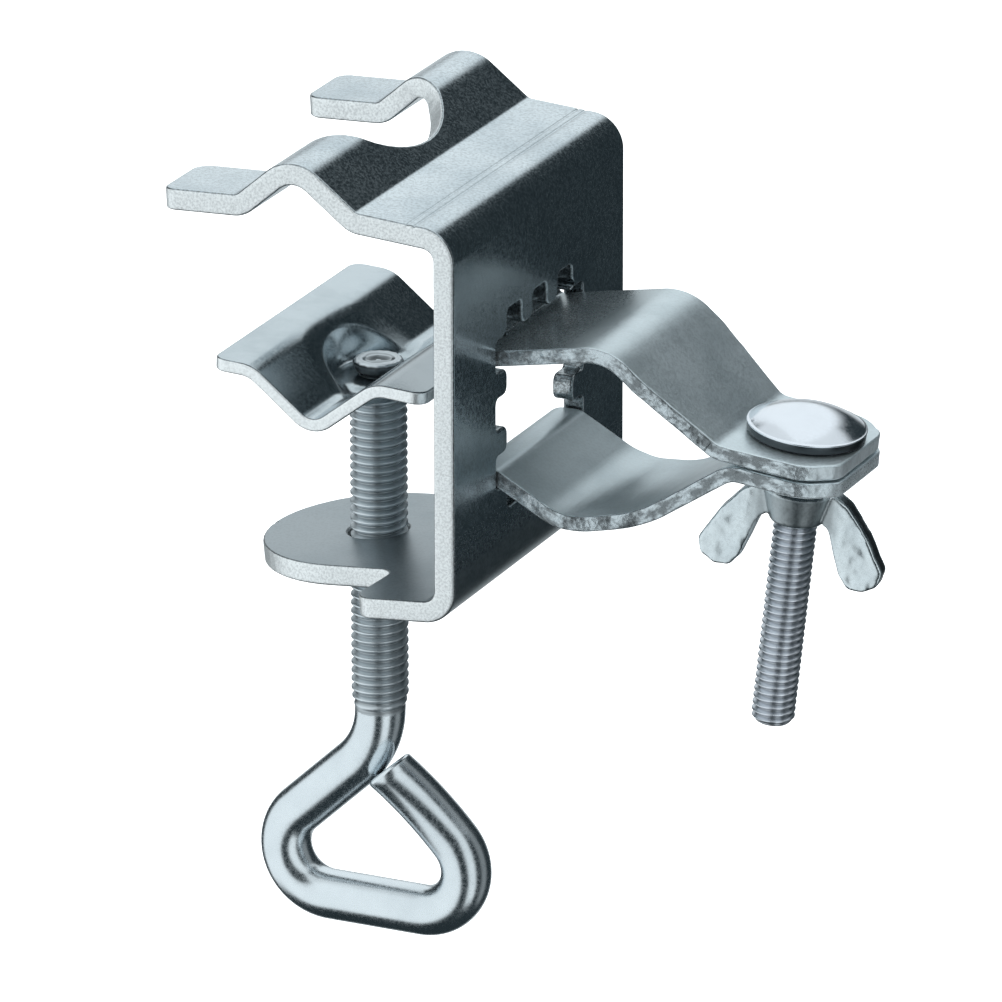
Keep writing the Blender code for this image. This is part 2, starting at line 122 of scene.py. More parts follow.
# Clamp screw
SCREW_X = -24.4
SCREW_THREAD_R = 4.0
SCREW_THREAD_DEPTH = 0.7
SCREW_RUN_OUT_TURNS = 2.2
SCREW_CHAMFER = 0.2
SCREW_PITCH = 1.25
SCREW_WIRE_R = 3.55
SCREW_NECK_R = 2.2
SCREW_SHOULDER_Z = -5.75
SCREW_COLLAR_Z = -6.0
SCREW_THREAD_END_Z = -53.2
SCREW_HEAD_Z = -1.75
SCREW_HEAD_R = 3.45
HANDLE_CORNERS = [(SCREW_X, -58.5), (-49.7, -82.4), (-2.95, -82.4), (-22.2, -61.0)]
HANDLE_BENDS = [12.0, 7.0, 6.7]
HANDLE_END_SIDE = -2.2
HANDLE_END_ROUND = 0.6
HANDLE_END_FLAT = 1.4

# Clearance between pieces that touch
GAP = 0.3

# Strap jaws
JAW_THICK = 2.2
UPPER_WIDTHS = [(20.5, 13.8), (30.0, 11.4)]
LOWER_WIDTHS = [(9.5, 13.8), (20.0, 11.4)]
JAW_HALF_AT_PLATE = 13.8
JAW_HALF_AT_BOLT = 11.1
JAW_CORNER_CUT = 4.0
JAW_TAIL_R = 1.5
JAW_TAPER_R = 6.0
JAW_CUT_R = 5.0
JAW_TIP_R = 3.0
JAW_END_SMOOTHER = 0.45
JAW_END_X = 47.6
HOOK_X = -BRACKET_THICK - GAP - JAW_THICK / 2
UPPER_FACE = [(0.0, 7.0), (16.2, 9.95), (31.2, -2.64), (JAW_END_X, -4.44)]
UPPER_BENDS = [1.8, 7.0, 4.0]
UPPER_HOOK_TIP_Z = 11.6
LOWER_FACE = [(0.2, -10.3), (9.8, -15.55), (19.5, -14.0), (32.6, -5.31), (JAW_END_X, -6.96)]
LOWER_BENDS = [1.8, 1.8, 11.0, 17.0, 4.0]
LOWER_HOOK_TIP_Z = -18.2

# Carriage bolt, washer and wing nut, measured along the bolt from the jaw's face
HEAD_R = 8.25
HEAD_RIM_Z = 1.25
HEAD_RISE = 2.45
HEAD_RIM = 0.14
HEAD_UNDER_R = 5.0
COLLAR_SOFT = 0.15
COLLAR_IN = (0.06, 0.12, 0.25)
NECK_HALF = 2.95
NECK_CHAMFER = 0.3
NECK_POWER = 6.2857
NECK_HOLE_HALF = 3.25
NECK_HOLE_ROUND = 0.3
BOLT_R = 3.0
BOLT_SHANK_R = 2.92
BOLT_THREAD_DEPTH = 0.58
BOLT_THREAD_TOP = -JAW_THICK - 0.4
BOLT_RUN_OUT_FROM = -JAW_THICK - 1.6
BOLT_RUN_OUT_TURNS = 1.5
BOLT_PITCH = 1.0
BOLT_LENGTH = 42.2
BOLT_CHAMFER = 0.12
BOLT_CHAMFER_SLOPE = 0.9
BOLT_END_INSETS = (0.0, 0.5, 1.2)
BOLT_END_DISH = 0.05
SLOT_HALF_WIDTH = 3.6
SLOT_HALF_LENGTH = 5.4
WASHER_TOP = 2 * JAW_THICK + 2 * GAP
WASHER_THICK = 1.2
WASHER_R = 5.2
WASHER_HOLE_R = 3.3
WASHER_SOFT = 0.16
NUT_TOP = WASHER_TOP + WASHER_THICK + GAP
HUB_HEIGHT = 6.0
HUB_TOP_R = 5.1
HUB_FOOT_R = 3.7
HUB_CHAMFER = 0.7
HUB_LIP = 0.8
HUB_SOFT = 0.3
NUT_BORE_R = 3.12
BORE_CHAMFER = 0.25
NUT_REST_TURN = math.radians(8)
WING_HALF_THICK = 1.5
WING_TAPER = 0.16
WING_TAPER_FROM = 2.0
WING_TAPER_LENGTH = 11.0
WING_ROUND = 1.3
WING_OUTLINE = [
    (3.6, -1.2),
    (5.2, -1.0),
    (7.4, -2.4),
    (10.4, -6.2),
    (13.0, -10.8),
    (12.5, -13.0),
    (10.3, -14.2),
    (8.3, -14.1),
    (6.9, -12.2),
    (5.9, -9.4),
    (4.8, -6.0),
    (3.6, -5.2),
]

# Fineness of the meshes
BEND_STEP = math.radians(4)
HANDLE_STEP = math.radians(3)
OUTLINE_STEP = 0.5
WALL_STEP = 0.4
RING_COLUMNS = 180
SEAT_RINGS = 44
DOME_RINGS = 26
RIM_DEGREES = (45, 65, 90, 115, 150)
THREAD_ROWS = 16
THREAD_COLUMNS = 48
ROUND_COLUMNS = 72
WING_STEP = 0.6
CAST_VOXEL = 0.2
CAST_SMOOTHING = 6

# Surface roughness: seed of all noise, size of its finer half, and an offset for each
# kind of surface
NOISE_SEED = 11
FINER = 2.3
EDGE_SEED = 3.1
CAST_SEED = 7.7
CAST_GRAIN = 2.6
HUB_BUMPS = 0.02
WING_BUMPS = 0.06

# How much painted shade and dullness the mesh's layer for them gives a surface, up to 1
THREAD_ROOT_SHADE_AND_DULL = 0.75
THREAD_CREST_SHADE_AND_DULL = 0.5
HUB_SHADE_AND_DULL = 0.7
WING_SIDE_SHADE_AND_DULL = 0.9

# Shares of a pitch from a thread's crest to its root and along one flank
THREAD_ROOT_AT = 0.44
THREAD_FLANK = 0.36

# A full round's radius stays a hair under half the width, so that its corners can't cross
FULL_ROUND = 0.999


# ---- where things are

SCREW_POINT = Vector((SCREW_X, 0.0, SCREW_SHOULDER_Z))
DATUM = SCREW_POINT - Vector(JOINTS["screw_turn"]["pos_m"]) / MM
NUT_DOWN = Vector(JOINTS["nut_turn"]["axis"]).normalized()
NUT_POINT = Vector(JOINTS["nut_turn"]["pos_m"]) / MM + DATUM
BOLT_TILT = math.atan2(-NUT_DOWN.x, -NUT_DOWN.z)
BOLT_SEAT = NUT_POINT - NUT_DOWN * NUT_TOP


def add_object(name, bm, body, node, mat, on_bolt=False):
    """Object from a mesh laid out in millimetres, riding on a body in place of a node."""
    bmesh.ops.remove_doubles(bm, verts=bm.verts, dist=1e-4)
    bmesh.ops.recalc_face_normals(bm, faces=bm.faces)
    if on_bolt:
        place = Matrix.Translation(BOLT_SEAT) @ Matrix.Rotation(BOLT_TILT, 4, "Y")
        bmesh.ops.transform(bm, matrix=place, verts=bm.verts)
    to_world = Matrix.Scale(MM, 4) @ Matrix.Translation(-DATUM)
    bmesh.ops.transform(bm, matrix=to_world, verts=bm.verts)
    mesh = bpy.data.meshes.new(name)
    bm.to_mesh(mesh)
    bm.free()
    mesh.shade_smooth()
    ob = bpy.data.objects.new(name, mesh)
    bpy.context.collection.objects.link(ob)
    mesh.materials.append(mat)
    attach(ob, body)
    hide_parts(node)


# ---- bent centre lines

def smooth_step(x):
    x = min(1.0, max(0.0, x))
    return x * x * (3 - 2 * x)


def turn_between(before, after):
    """Angle from one direction to the next, positive to the left."""
    return math.atan2(before.x * after.y - before.y * after.x, before.dot(after))


def left_of(direction):
    return Vector((-direction.y, direction.x))


class BentPath:
    """A centre line in the XZ plane made of straight legs joined by arcs."""

    def __init__(self, corners, radii):
        points = [Vector(c) for c in corners]
        self.pieces = []
        self.length = 0.0
        here = points[0]
        for i, radius in enumerate(radii, start=1):
            before = (points[i] - points[i - 1]).normalized()
            after = (points[i + 1] - points[i]).normalized()
            turn = turn_between(before, after)
            setback = radius * math.tan(abs(turn) / 2)
            start = points[i] - before * setback
            self.add(here, before, (start - here).length, 0.0)
            self.add(start, before, radius * abs(turn), turn / (radius * abs(turn)))
            here = points[i] + after * setback
        last = points[-1] - here
        self.add(here, last.normalized(), last.length, 0.0)

    def add(self, start, direction, length, curvature):
        self.pieces.append((self.length, length, start, direction, curvature))
        self.length += length

    def at(self, s):
        """Point, direction at a length along the path."""
        piece = self.pieces[0]
        for candidate in self.pieces:
            if s >= candidate[0] - 1e-9:
                piece = candidate
        begin, _, start, direction, curvature = piece
        run = s - begin
        if curvature == 0.0:
            return start + direction * run, direction
        centre = start + left_of(direction) / curvature
        spin = Matrix.Rotation(run * curvature, 2)
        return centre + spin @ (start - centre), spin @ direction

    def stations(self, step_angle, support=0.25):
        """Lengths that need an edge across: along each arc, and just outside it."""
        found = []
        for begin, length, _, _, curvature in self.pieces:
            if curvature == 0.0:
                continue
            count = max(2, round(abs(length * curvature) / step_angle))
            found += [begin + length * i / count for i in range(count + 1)]
            found += [begin - support, begin + length + support]
        return sorted(found)

    def where(self, axis, value, after=0.0):
        """First length past `after` at which X (0) or Z (1) crosses a value."""
        steps = 4000
        last = self.at(after)[0][axis] - value
        for i in range(1, steps + 1):
            s = after + (self.length - after) * i / steps
            now = self.at(s)[0][axis] - value
            if last * now <= 0:
                return s
            last = now
        raise ValueError(f"the path never reaches {value}")


def meet(a, b, c, d):
    """Crossing of the line through a and b with the line through c and d."""
    u, v, w = b - a, d - c, c - a
    return a + u * ((w.x * v.y - w.y * v.x) / (u.x * v.y - u.y * v.x))


def shifted(corners, distance):
    """Corners of the polyline that lies a distance to the left of another."""
    points = [Vector(c) for c in corners]
    legs = []
    for a, b in zip(points, points[1:]):
        side = left_of((b - a).normalized()) * distance
        legs.append((a + side, b + side))
    inner = [meet(*one, *two) for one, two in zip(legs, legs[1:])]
    return [legs[0][0], *inner, legs[-1][1]]


# ---- flat outlines

def rounded(corners, steps=6):
    """Closed outline from (x, y, radius) corners."""
    outline = []
    count = len(corners)
    for i, (x, y, radius) in enumerate(corners):
        here = Vector((x, y))
        before = (here - Vector(corners[i - 1][:2])).normalized()
        after = (Vector(corners[(i + 1) % count][:2]) - here).normalized()
        turn = turn_between(before, after)
        if radius == 0 or abs(turn) < 1e-6:
            outline.append(here)
            continue
        start = here - before * radius * math.tan(abs(turn) / 2)
        centre = start + left_of(before) * math.copysign(radius, turn)
        for k in range(steps + 1):
            spin = Matrix.Rotation(turn * k / steps, 2)
            outline.append(centre + spin @ (start - centre))
    return outline


def circle(x, radius, count=ROUND_COLUMNS):
    angles = [2 * math.pi * i / count for i in range(count)]
    return [Vector((x + radius * math.cos(a), radius * math.sin(a))) for a in angles]


def rectangle(x, half_length, half_width, radius, steps):
    signs = [(-1, -1), (1, -1), (1, 1), (-1, 1)]
    corners = [(x + i * half_length, j * half_width, radius) for i, j in signs]
    return rounded(corners, steps)


def evened(outline, step):
    """The same outline with no edge longer than a step."""
    fine = []
    for i, point in enumerate(outline):
        after = outline[(i + 1) % len(outline)]
        gap = (after - point).length
        if gap < 1e-4:
            continue
        count = max(1, math.ceil(gap / step))
        fine += [point.lerp(after, k / count) for k in range(count)]
    return fine


def facing(outline, outer):
    """The outline turned so that the sheet lies on its left."""
    area = sum(outline[i - 1].cross(outline[i]) for i in range(len(outline)))
    return outline if (area > 0) == outer else outline[::-1]


def inset(outline, distance):
    """The outline moved into the sheet."""
    moved = []
    for i, point in enumerate(outline):
        along = (outline[(i + 1) % len(outline)] - outline[i - 1]).normalized()
        moved.append(point + left_of(along) * distance)
    return moved


# ---- sheet pieces

def all_torn(s, y):
    return 1.0


@dataclass
class Edge:
    """How a sheet's cut edge is shaped.

    top and foot are its corner radii. margin is how far in from the outline the flat skins
    end. ripple is how deep the cut's roughness is, and grain how wide. share(s, y) says how
    torn the cut is there, from 0 for smooth to 1.
    """

    top: float
    foot: float
    margin: float
    ripple: float
    grain: float
    share: object = all_torn
    lead = 0.06

    def rows(self, half):
        """(distance in from the outline, height, share of cut) from one face to the other."""
        rows = [(self.top + self.lead, half, 0.0)]
        quarter = [math.pi / 2 * k / 4 for k in range(5)]
        for a in quarter:
            cut = math.sin(a)
            rows.append((self.top * (1 - cut), half - self.top * (1 - math.cos(a)), cut**2))
        wall = 2 * half - self.top - self.foot
        count = math.ceil(wall / WALL_STEP)
        rows += [(0.0, half - self.top - wall * k / count, 1.0) for k in range(1, count)]
        for a in reversed(quarter):
            cut = math.sin(a)
            rows.append((self.foot * (1 - cut), -half + self.foot * (1 - math.cos(a)), cut**2))
        return rows + [(self.foot + self.lead, -half, 0.0)]


def flat_blank(outlines):
    """Flat triangles in (s, y) inside the first outline and outside the others."""
    blank = bmesh.new()
    for outline in outlines:
        loop = [blank.verts.new((p.x, p.y, 0.0)) for p in outline]
        for i, vert in enumerate(loop):
            blank.edges.new((loop[i - 1], vert))
    bmesh.ops.remove_doubles(blank, verts=blank.verts, dist=1e-4)
    bmesh.ops.triangle_fill(blank, use_beauty=True, use_dissolve=False, edges=blank.edges)
    return blank


def add_rings(blank, x, radii):
    """Rings of faces that fill a round hole down to the last radius."""
    loops = []
    for radius in radii:
        points = circle(x, radius, RING_COLUMNS)
        loops.append([blank.verts.new((p.x, p.y, 0.0)) for p in points])
    for one, two in zip(loops, loops[1:]):
        for i in range(len(one)):
            blank.faces.new([one[i - 1], one[i], two[i], two[i - 1]])
    bmesh.ops.remove_doubles(blank, verts=blank.verts, dist=1e-4)


noise.seed_set(NOISE_SEED)


def rough(point, size, seed):
    """Smooth random vector with two scales, the same each run."""
    spot = point / size + Vector((seed, 0, 0))
    return noise.noise_vector(spot) + noise.noise_vector(spot * FINER) / 2


def sheet_mesh(path, thickness, outlines, edge, rings=None, press=None, stations=()):
    """Closed mesh of a bent sheet with shaped cut edges, in layout millimetres."""
    inner = []
    for i, outline in enumerate(outlines):
        fine = facing(evened(outline, OUTLINE_STEP), outer=i == 0)
        inner.append(inset(fine, edge.margin))
    blank = flat_blank(inner)
    if rings:
        add_rings(blank, *rings)
    across = (1, 0, 0)
    for s in [*path.stations(BEND_STEP), *stations]:
        parts = [*blank.verts, *blank.edges, *blank.faces]
        bmesh.ops.bisect_plane(blank, geom=parts, plane_co=(s, 0, 0), plane_no=across, dist=1e-5)
    for face in blank.faces:
        face.normal_update()
        if face.normal.z < 0:
            face.normal_flip()
    return thicken(blank, path, thickness / 2, edge, press)


def border_normals(blank):
    """Outward direction at each border vertex of a flat blank, longer at its corners."""
    found = {}
    shortest = 0.6
    for edge in blank.edges:
        if edge.is_boundary:
            corner = edge.link_loops[0]
            along = (corner.link_loop_next.vert.co - corner.vert.co).to_2d().normalized()
            for vert in edge.verts:
                found[vert] = found.get(vert, Vector((0, 0))) - left_of(along)
    for vert, total in found.items():
        unit = total.normalized()
        found[vert] = unit / max(shortest, total.length / 2)
    return found


def thicken(blank, path, half, edge, press):
    """Two skins and the shaped edge between them, bent along the path."""
    solid = bmesh.new()
    cut_layer = solid.verts.layers.float.new("cut")
    uv_per_mm = 0.01
    uv_layer = solid.loops.layers.uv.new("flat")
    flat_at = {}

    def place(s, y, t, cut, along=(0.0, 0.0)):
        point, direction = path.at(s)
        spot = point + left_of(direction) * t
        if press:
            spot = press(s, y, t, spot)
        co = Vector((spot.x, y, spot.y))
        cut *= edge.share(s, y)
        if cut > 0:
            co += rough(co, edge.grain, EDGE_SEED) * (edge.ripple * cut)
        vert = solid.verts.new(co)
        vert[cut_layer] = cut
        flat_at[vert] = ((s + along[0]) * uv_per_mm, (y + along[1]) * uv_per_mm)
        return vert

    high = {v: place(v.co.x, v.co.y, half, 0.0) for v in blank.verts}
    low = {v: place(v.co.x, v.co.y, -half, 0.0) for v in blank.verts}
    rows = edge.rows(half)
    columns = {}
    for vert, out in border_normals(blank).items():
        column = [high[vert]]
        travelled, last = 0.0, rows[0]
        for row in rows:
            travelled += math.hypot(row[0] - last[0], row[1] - last[1])
            last = row
            spot = vert.co.to_2d() + out * (edge.margin - row[0])
            column.append(place(spot.x, spot.y, row[1], row[2], out * travelled))
        column.append(low[vert])
        columns[vert] = column
    for face in blank.faces:
        solid.faces.new([high[v] for v in face.verts])
        solid.faces.new([low[v] for v in reversed(face.verts)])
    for border in blank.edges:
        if not border.is_boundary:
            continue
        corner = border.link_loops[0]
        one, two = columns[corner.vert], columns[corner.link_loop_next.vert]
        for k in range(len(one) - 1):
            solid.faces.new([two[k], one[k], one[k + 1], two[k + 1]])
    for face in solid.faces:
        for loop in face.loops:
            loop[uv_layer].uv = flat_at[loop.vert]
    blank.free()
    return solid


def opening_outline(middle):
    """Notched square, as seen in (s, y) with s running down the plate."""
    reach = TOOTH_LINE + NOTCH_DEPTH
    side = []
    for centre in (-NOTCH_PITCH, 0.0, NOTCH_PITCH):
        side += [
            (centre - NOTCH_HALF, TOOTH_LINE, TOOTH_ROUND),
            (centre - NOTCH_HALF, reach, NOTCH_ROUND),
            (centre + NOTCH_HALF, reach, NOTCH_ROUND),
            (centre + NOTCH_HALF, TOOTH_LINE, TOOTH_ROUND),
        ]
    side[0] = (-TOOTH_LINE, TOOTH_LINE, 0.0)
    side[1] = (-TOOTH_LINE, reach, NOTCH_ROUND)
    side[-2] = (TOOTH_LINE, reach, NOTCH_ROUND)
    del side[-1]
    corners = []
    for cos, sin in ((1, 0), (0, 1), (-1, 0), (0, -1)):
        for x, y, radius in side:
            corners.append((x * cos + y * sin, y * cos - x * sin, radius))
    return [Vector((middle + p.x, p.y)) for p in rounded(corners, steps=4)]


def bracket_outline(path, plate):
    gap_end = path.where(0, PRONG_GAP_END_X)
    tongue = path.where(0, TONGUE_START_X, after=plate)
    end = path.where(0, SCREW_X, after=plate) + TONGUE_HALF
    prongs = [
        (0.0, BRACKET_HALF, CORNER_R),
        (0.0, PRONG_GAP_HALF, PRONG_MOUTH_R),
        (gap_end, PRONG_GAP_HALF, PRONG_GAP_HALF * FULL_ROUND),
    ]
    foot = [
        (end, TONGUE_HALF, TONGUE_HALF * FULL_ROUND),
        (tongue, TONGUE_HALF, TONGUE_ROOT_R),
        (tongue + FOOT_FLARE, BRACKET_HALF, FOOT_CORNER_R),
    ]
    mirrored = [(s, -y, radius) for s, y, radius in [*foot, *prongs]]
    return rounded([*prongs, *mirrored[::-1], *foot], steps=14)


def rail_bracket(mat):
    path = BentPath(shifted(BRACKET_FACE, -BRACKET_THICK / 2), BRACKET_BENDS)
    plate = path.where(1, 0.0)
    screw = path.where(0, SCREW_X, after=plate)
    upper_plate = plate - 10.0
    middle = path.where(1, OPENING_Z, after=upper_plate)
    outlines = [bracket_outline(path, plate), opening_outline(middle), circle(screw, FOOT_HOLE_R)]
    reach = TOOTH_LINE + NOTCH_DEPTH + OPENING_MARGIN
    top_strip = path.where(0, TOP_STRIP_X)
    lines = [path.where(0, x, after=top_strip) for x in ROLL_LINES_X]

    def press(s, y, t, spot):
        """Fine lines left by the bending tool along the top of the bracket."""
        near = 1 - min(abs(s - line) for line in lines) / ROLL_LINE_HALF
        if t > 0 and near > 0:
            spot = spot - Vector((0.0, ROLL_LINE_DEPTH * near))
        return spot

    # Round the opening the low share gives the cut walls painted shade, dark as in the notches
    def share(s, y):
        return OPENING_SMOOTH_SHADED if max(abs(s - middle), abs(y)) < reach else 1.0

    edge = Edge(top=0.38, foot=0.3, margin=0.55, ripple=0.03, grain=0.75, share=share)
    steps = (-1.0, -0.5, 0.0, 0.5, 1.0)
    stations = [line + ROLL_LINE_HALF * step for line in lines for step in steps]
    bm = sheet_mesh(path, BRACKET_THICK, outlines, edge, press=press, stations=stations)
    add_object("rail_bracket_sheet", bm, "bracket", "rail_bracket", mat)


def pressure_saddle(mat):
    path = BentPath(shifted(SADDLE_FACE, -SADDLE_THICK / 2), SADDLE_BENDS)
    half = path.length / 2
    outline = rectangle(half, half, SADDLE_HALF, CORNER_R, steps=8)
    hole = path.where(0, SCREW_X)
    edge = Edge(top=0.3, foot=0.25, margin=0.4, ripple=0.02, grain=0.8)
    low = SADDLE_HOLE_R + edge.margin
    radii = [DIP_TO_R + (low - DIP_TO_R) * k / SEAT_RINGS for k in range(SEAT_RINGS + 1)]

    def press(s, y, t, spot):
        """Flatten the V round the screw into a seat, inside a wider shallow dip."""
        reach = math.hypot(s - hole, y)
        share = smooth_step((SEAT_R - reach) / (SEAT_R - SEAT_FLAT_R))
        flat = Vector((SCREW_X + s - hole, SEAT_TOP_Z - SADDLE_THICK / 2 + t))
        dip = DIP_DEPTH * smooth_step((DIP_TO_R - reach) / (DIP_TO_R - DIP_FROM_R))
        return (spot - Vector((0.0, dip))).lerp(flat, share)

    outer = circle(hole, DIP_TO_R - edge.margin, RING_COLUMNS)
    bm = sheet_mesh(path, SADDLE_THICK, [outline, outer], edge, (hole, radii), press)
    add_object("pressure_saddle_plate", bm, "saddle", "pressure_saddle", mat)


def jaw_outline(path, widths):
    """Strap outline: wide from the hook to the first bend, narrow at the bolt."""
    end = path.length
    side = [(0.0, JAW_HALF_AT_PLATE, JAW_TAIL_R)]
    side += [(path.where(0, x), half, JAW_TAPER_R) for x, half in widths]
    side.append((end - JAW_CORNER_CUT, JAW_HALF_AT_BOLT, JAW_CUT_R))
    side.append((end, JAW_HALF_AT_BOLT - JAW_CORNER_CUT, JAW_TIP_R))
    near = [(s, -half, radius) for s, half, radius in side]
    return rounded(near + side[::-1])


def strap_path(face, hook_tip, bends):
    """Centre line of a strap whose first leg is a hook behind the back plate.

    Where there is a bend for every corner of the face, a level leg joins the hook to the
    first one. Otherwise the face's first leg runs straight back to the hook.
    """
    line = shifted(face, -JAW_THICK / 2)
    if len(bends) == len(face):
        return BentPath([(HOOK_X, hook_tip), (HOOK_X, line[0].y), *line], bends)
    corner = meet(Vector((HOOK_X, 0.0)), Vector((HOOK_X, 1.0)), line[0], line[1])
    return BentPath([(HOOK_X, hook_tip), corner, *line[1:]], bends)


def strap_edge(path):
    """Torn along both sides of the strap, smoother round its end."""
    smooth_from = path.length - 1.5 * JAW_CORNER_CUT

    def share(s, y):
        return 1.0 - JAW_END_SMOOTHER * smooth_step((s - smooth_from) / JAW_CORNER_CUT)

    return Edge(top=0.26, foot=0.26, margin=0.45, ripple=0.12, grain=1.9, share=share)


def upper_jaw(mat):
    path = strap_path(UPPER_FACE, UPPER_HOOK_TIP_Z, UPPER_BENDS)
    hole = path.where(0, BOLT_SEAT.x - JAW_THICK / 2 * math.sin(BOLT_TILT))
    square = rectangle(hole, NECK_HOLE_HALF, NECK_HOLE_HALF, NECK_HOLE_ROUND, steps=4)
    outlines = [jaw_outline(path, UPPER_WIDTHS), square]
    bm = sheet_mesh(path, JAW_THICK, outlines, strap_edge(path))
    add_object("upper_jaw_strap", bm, "upper_arm", "upper_jaw", mat)


def lower_jaw(mat):
    path = strap_path(LOWER_FACE, LOWER_HOOK_TIP_Z, LOWER_BENDS)
    hole = path.where(0, BOLT_SEAT.x - (JAW_THICK * 1.5 + GAP) * math.sin(BOLT_TILT))
    end_r = SLOT_HALF_WIDTH * FULL_ROUND
    long_slot = rectangle(hole, SLOT_HALF_LENGTH, SLOT_HALF_WIDTH, end_r, steps=12)
    outlines = [jaw_outline(path, LOWER_WIDTHS), long_slot]
    bm = sheet_mesh(path, JAW_THICK, outlines, strap_edge(path))
    add_object("lower_jaw_strap", bm, "lower_arm", "lower_jaw", mat)


# ---- round pieces

def thread_share(turn):
    """How near the crest a rolled 60 degree thread is, at a fraction of a pitch."""
    away = abs((turn + 0.5) % 1.0 - 0.5)
    return min(1.0, max(0.0, (THREAD_ROOT_AT - away) / THREAD_FLANK))


def add_thread(bm, centre_x, top, foot, pitch, radius_at):
    """Helical surface between two heights, closed onto a circle at each end.

    radius_at(z, share) gives the radius. Each row of points follows the helix.
    """
    turns = math.ceil((top - foot) / pitch) + 2
    rows = turns * THREAD_ROWS
    shade_and_dullness = bm.verts.layers.float.new("shade_and_dullness")
    grid = []
    for i in range(THREAD_COLUMNS):
        angle = 2 * math.pi * i / THREAD_COLUMNS
        column = []
        for j in range(rows + 1):
            turn = j / THREAD_ROWS
            z = foot + pitch * (turn - 1 + i / THREAD_COLUMNS)
            z_in = min(top, max(foot, z))
            share = thread_share(turn) if foot < z < top else 0.0
            r = radius_at(z_in, share)
            x = centre_x + r * math.cos(angle)
            vert = bm.verts.new((x, r * math.sin(angle), z_in))
            # Painted shade towards the root of the thread, with dullness all along it
            vert[shade_and_dullness] = THREAD_ROOT_SHADE_AND_DULL - share * (THREAD_ROOT_SHADE_AND_DULL - THREAD_CREST_SHADE_AND_DULL)
            column.append(vert)
        grid.append(column)
    for i in range(THREAD_COLUMNS):
        last = i == THREAD_COLUMNS - 1
        one, two = grid[i], grid[(i + 1) % THREAD_COLUMNS]
        shift = THREAD_ROWS if last else 0
        for j in range(rows - shift):
            bm.faces.new([one[j], two[j + shift], two[j + shift + 1], one[j + 1]])
    bmesh.ops.remove_doubles(bm, verts=bm.verts, dist=1e-4)
    bmesh.ops.dissolve_degenerate(bm, edges=bm.edges, dist=1e-5)


def ring(bm, centre_x, z, radius, count=THREAD_COLUMNS, wobble=None, mark=0.0):
    """Vertices of a circle at a height; wobble(angle) may change its radius.

    Its last argument, a level of painted shade and dullness, goes into the mesh's layer for them.
    """
    shade_and_dullness = bm.verts.layers.float.get("shade_and_dullness")
    verts = []
    for i in range(count):
        a = 2 * math.pi * i / count
        r = radius * (wobble(a) if wobble else 1.0)
        vert = bm.verts.new((centre_x + r * math.cos(a), r * math.sin(a), z))
        if shade_and_dullness:
            vert[shade_and_dullness] = mark
        verts.append(vert)
    return verts


def bridge(bm, loops, cap_first=False, cap_last=False):
    """Faces between loops with the same number of points."""
    for one, two in zip(loops, loops[1:]):
        for i in range(len(one)):
            bm.faces.new([one[i - 1], one[i], two[i], two[i - 1]])
    for wanted, loop in ((cap_first, loops[0]), (cap_last, loops[-1])):
        if wanted:
            centre = sum((v.co for v in loop), Vector()) / len(loop)
            hub = bm.verts.new(centre)
            for i in range(len(loop)):
                bm.faces.new([loop[i - 1], loop[i], hub])


def screw_radius(z, share):
    """Radius of the clamp screw: chamfered at its shoulder, run out onto the wire."""
    root = SCREW_THREAD_R - SCREW_THREAD_DEPTH
    thread = root + (SCREW_THREAD_R - root) * share
    run_out = smooth_step((z - SCREW_THREAD_END_Z) / (SCREW_RUN_OUT_TURNS * SCREW_PITCH))
    radius = SCREW_WIRE_R + (thread - SCREW_WIRE_R) * run_out
    return min(radius, root - SCREW_CHAMFER + (SCREW_COLLAR_Z - z))


def screw_head(bm):
    """The end of the screw, peened over the saddle with a serrated rim."""
    def teeth(a):
        return 1.0 + 0.03 * math.cos(16 * a) + 0.012 * math.sin(5 * a + 1.0)

    def dished(a):
        return 1.0 + 0.05 * math.sin(3 * a + 0.6) + 0.03 * math.cos(5 * a)

    def punched(a):
        return 1.0 + 0.3 * math.sin(2 * a + 0.6) + 0.14 * math.cos(3 * a)

    # How far down from the top, radius, outline, and level of painted shade and dullness of each
    # ring, from the centre out
    rows = [
        (0.34, 0.4, dished, 0.9),
        (0.3, 0.8, punched, 0.9),
        (0.08, 1.2, punched, 0.8),
        (0.02, 1.6, punched, 0.64),
        (0.07, 2.0, dished, 0.78),
        (0.0, 2.35, dished, 0.62),
        (0.03, 2.75, teeth, 0.66),
        (0.0, 3.05, teeth, 0.6),
        (0.14, 3.3, teeth, 0.5),
        (0.38, SCREW_HEAD_R, teeth, 0.95),
        (0.7, SCREW_HEAD_R, teeth, 0.9),
        (1.5, SCREW_HEAD_R - 0.35, teeth, 1.0),
        (1.85, SCREW_HEAD_R - 0.6, teeth, 1.0),
        (2.0, SCREW_NECK_R, None, 1.0),
    ]
    loops = []
    for down, radius, wobble, mark in rows:
        loops.append(ring(bm, SCREW_X, SCREW_HEAD_Z - down, radius, wobble=wobble, mark=mark))
    loops += [
        ring(bm, SCREW_X, SCREW_COLLAR_Z + 0.1, SCREW_NECK_R),
        ring(bm, SCREW_X, SCREW_COLLAR_Z, SCREW_NECK_R + 0.1),
        ring(bm, SCREW_X, SCREW_COLLAR_Z, screw_radius(SCREW_COLLAR_Z, 0.0)),
    ]
    bridge(bm, loops, cap_first=True)


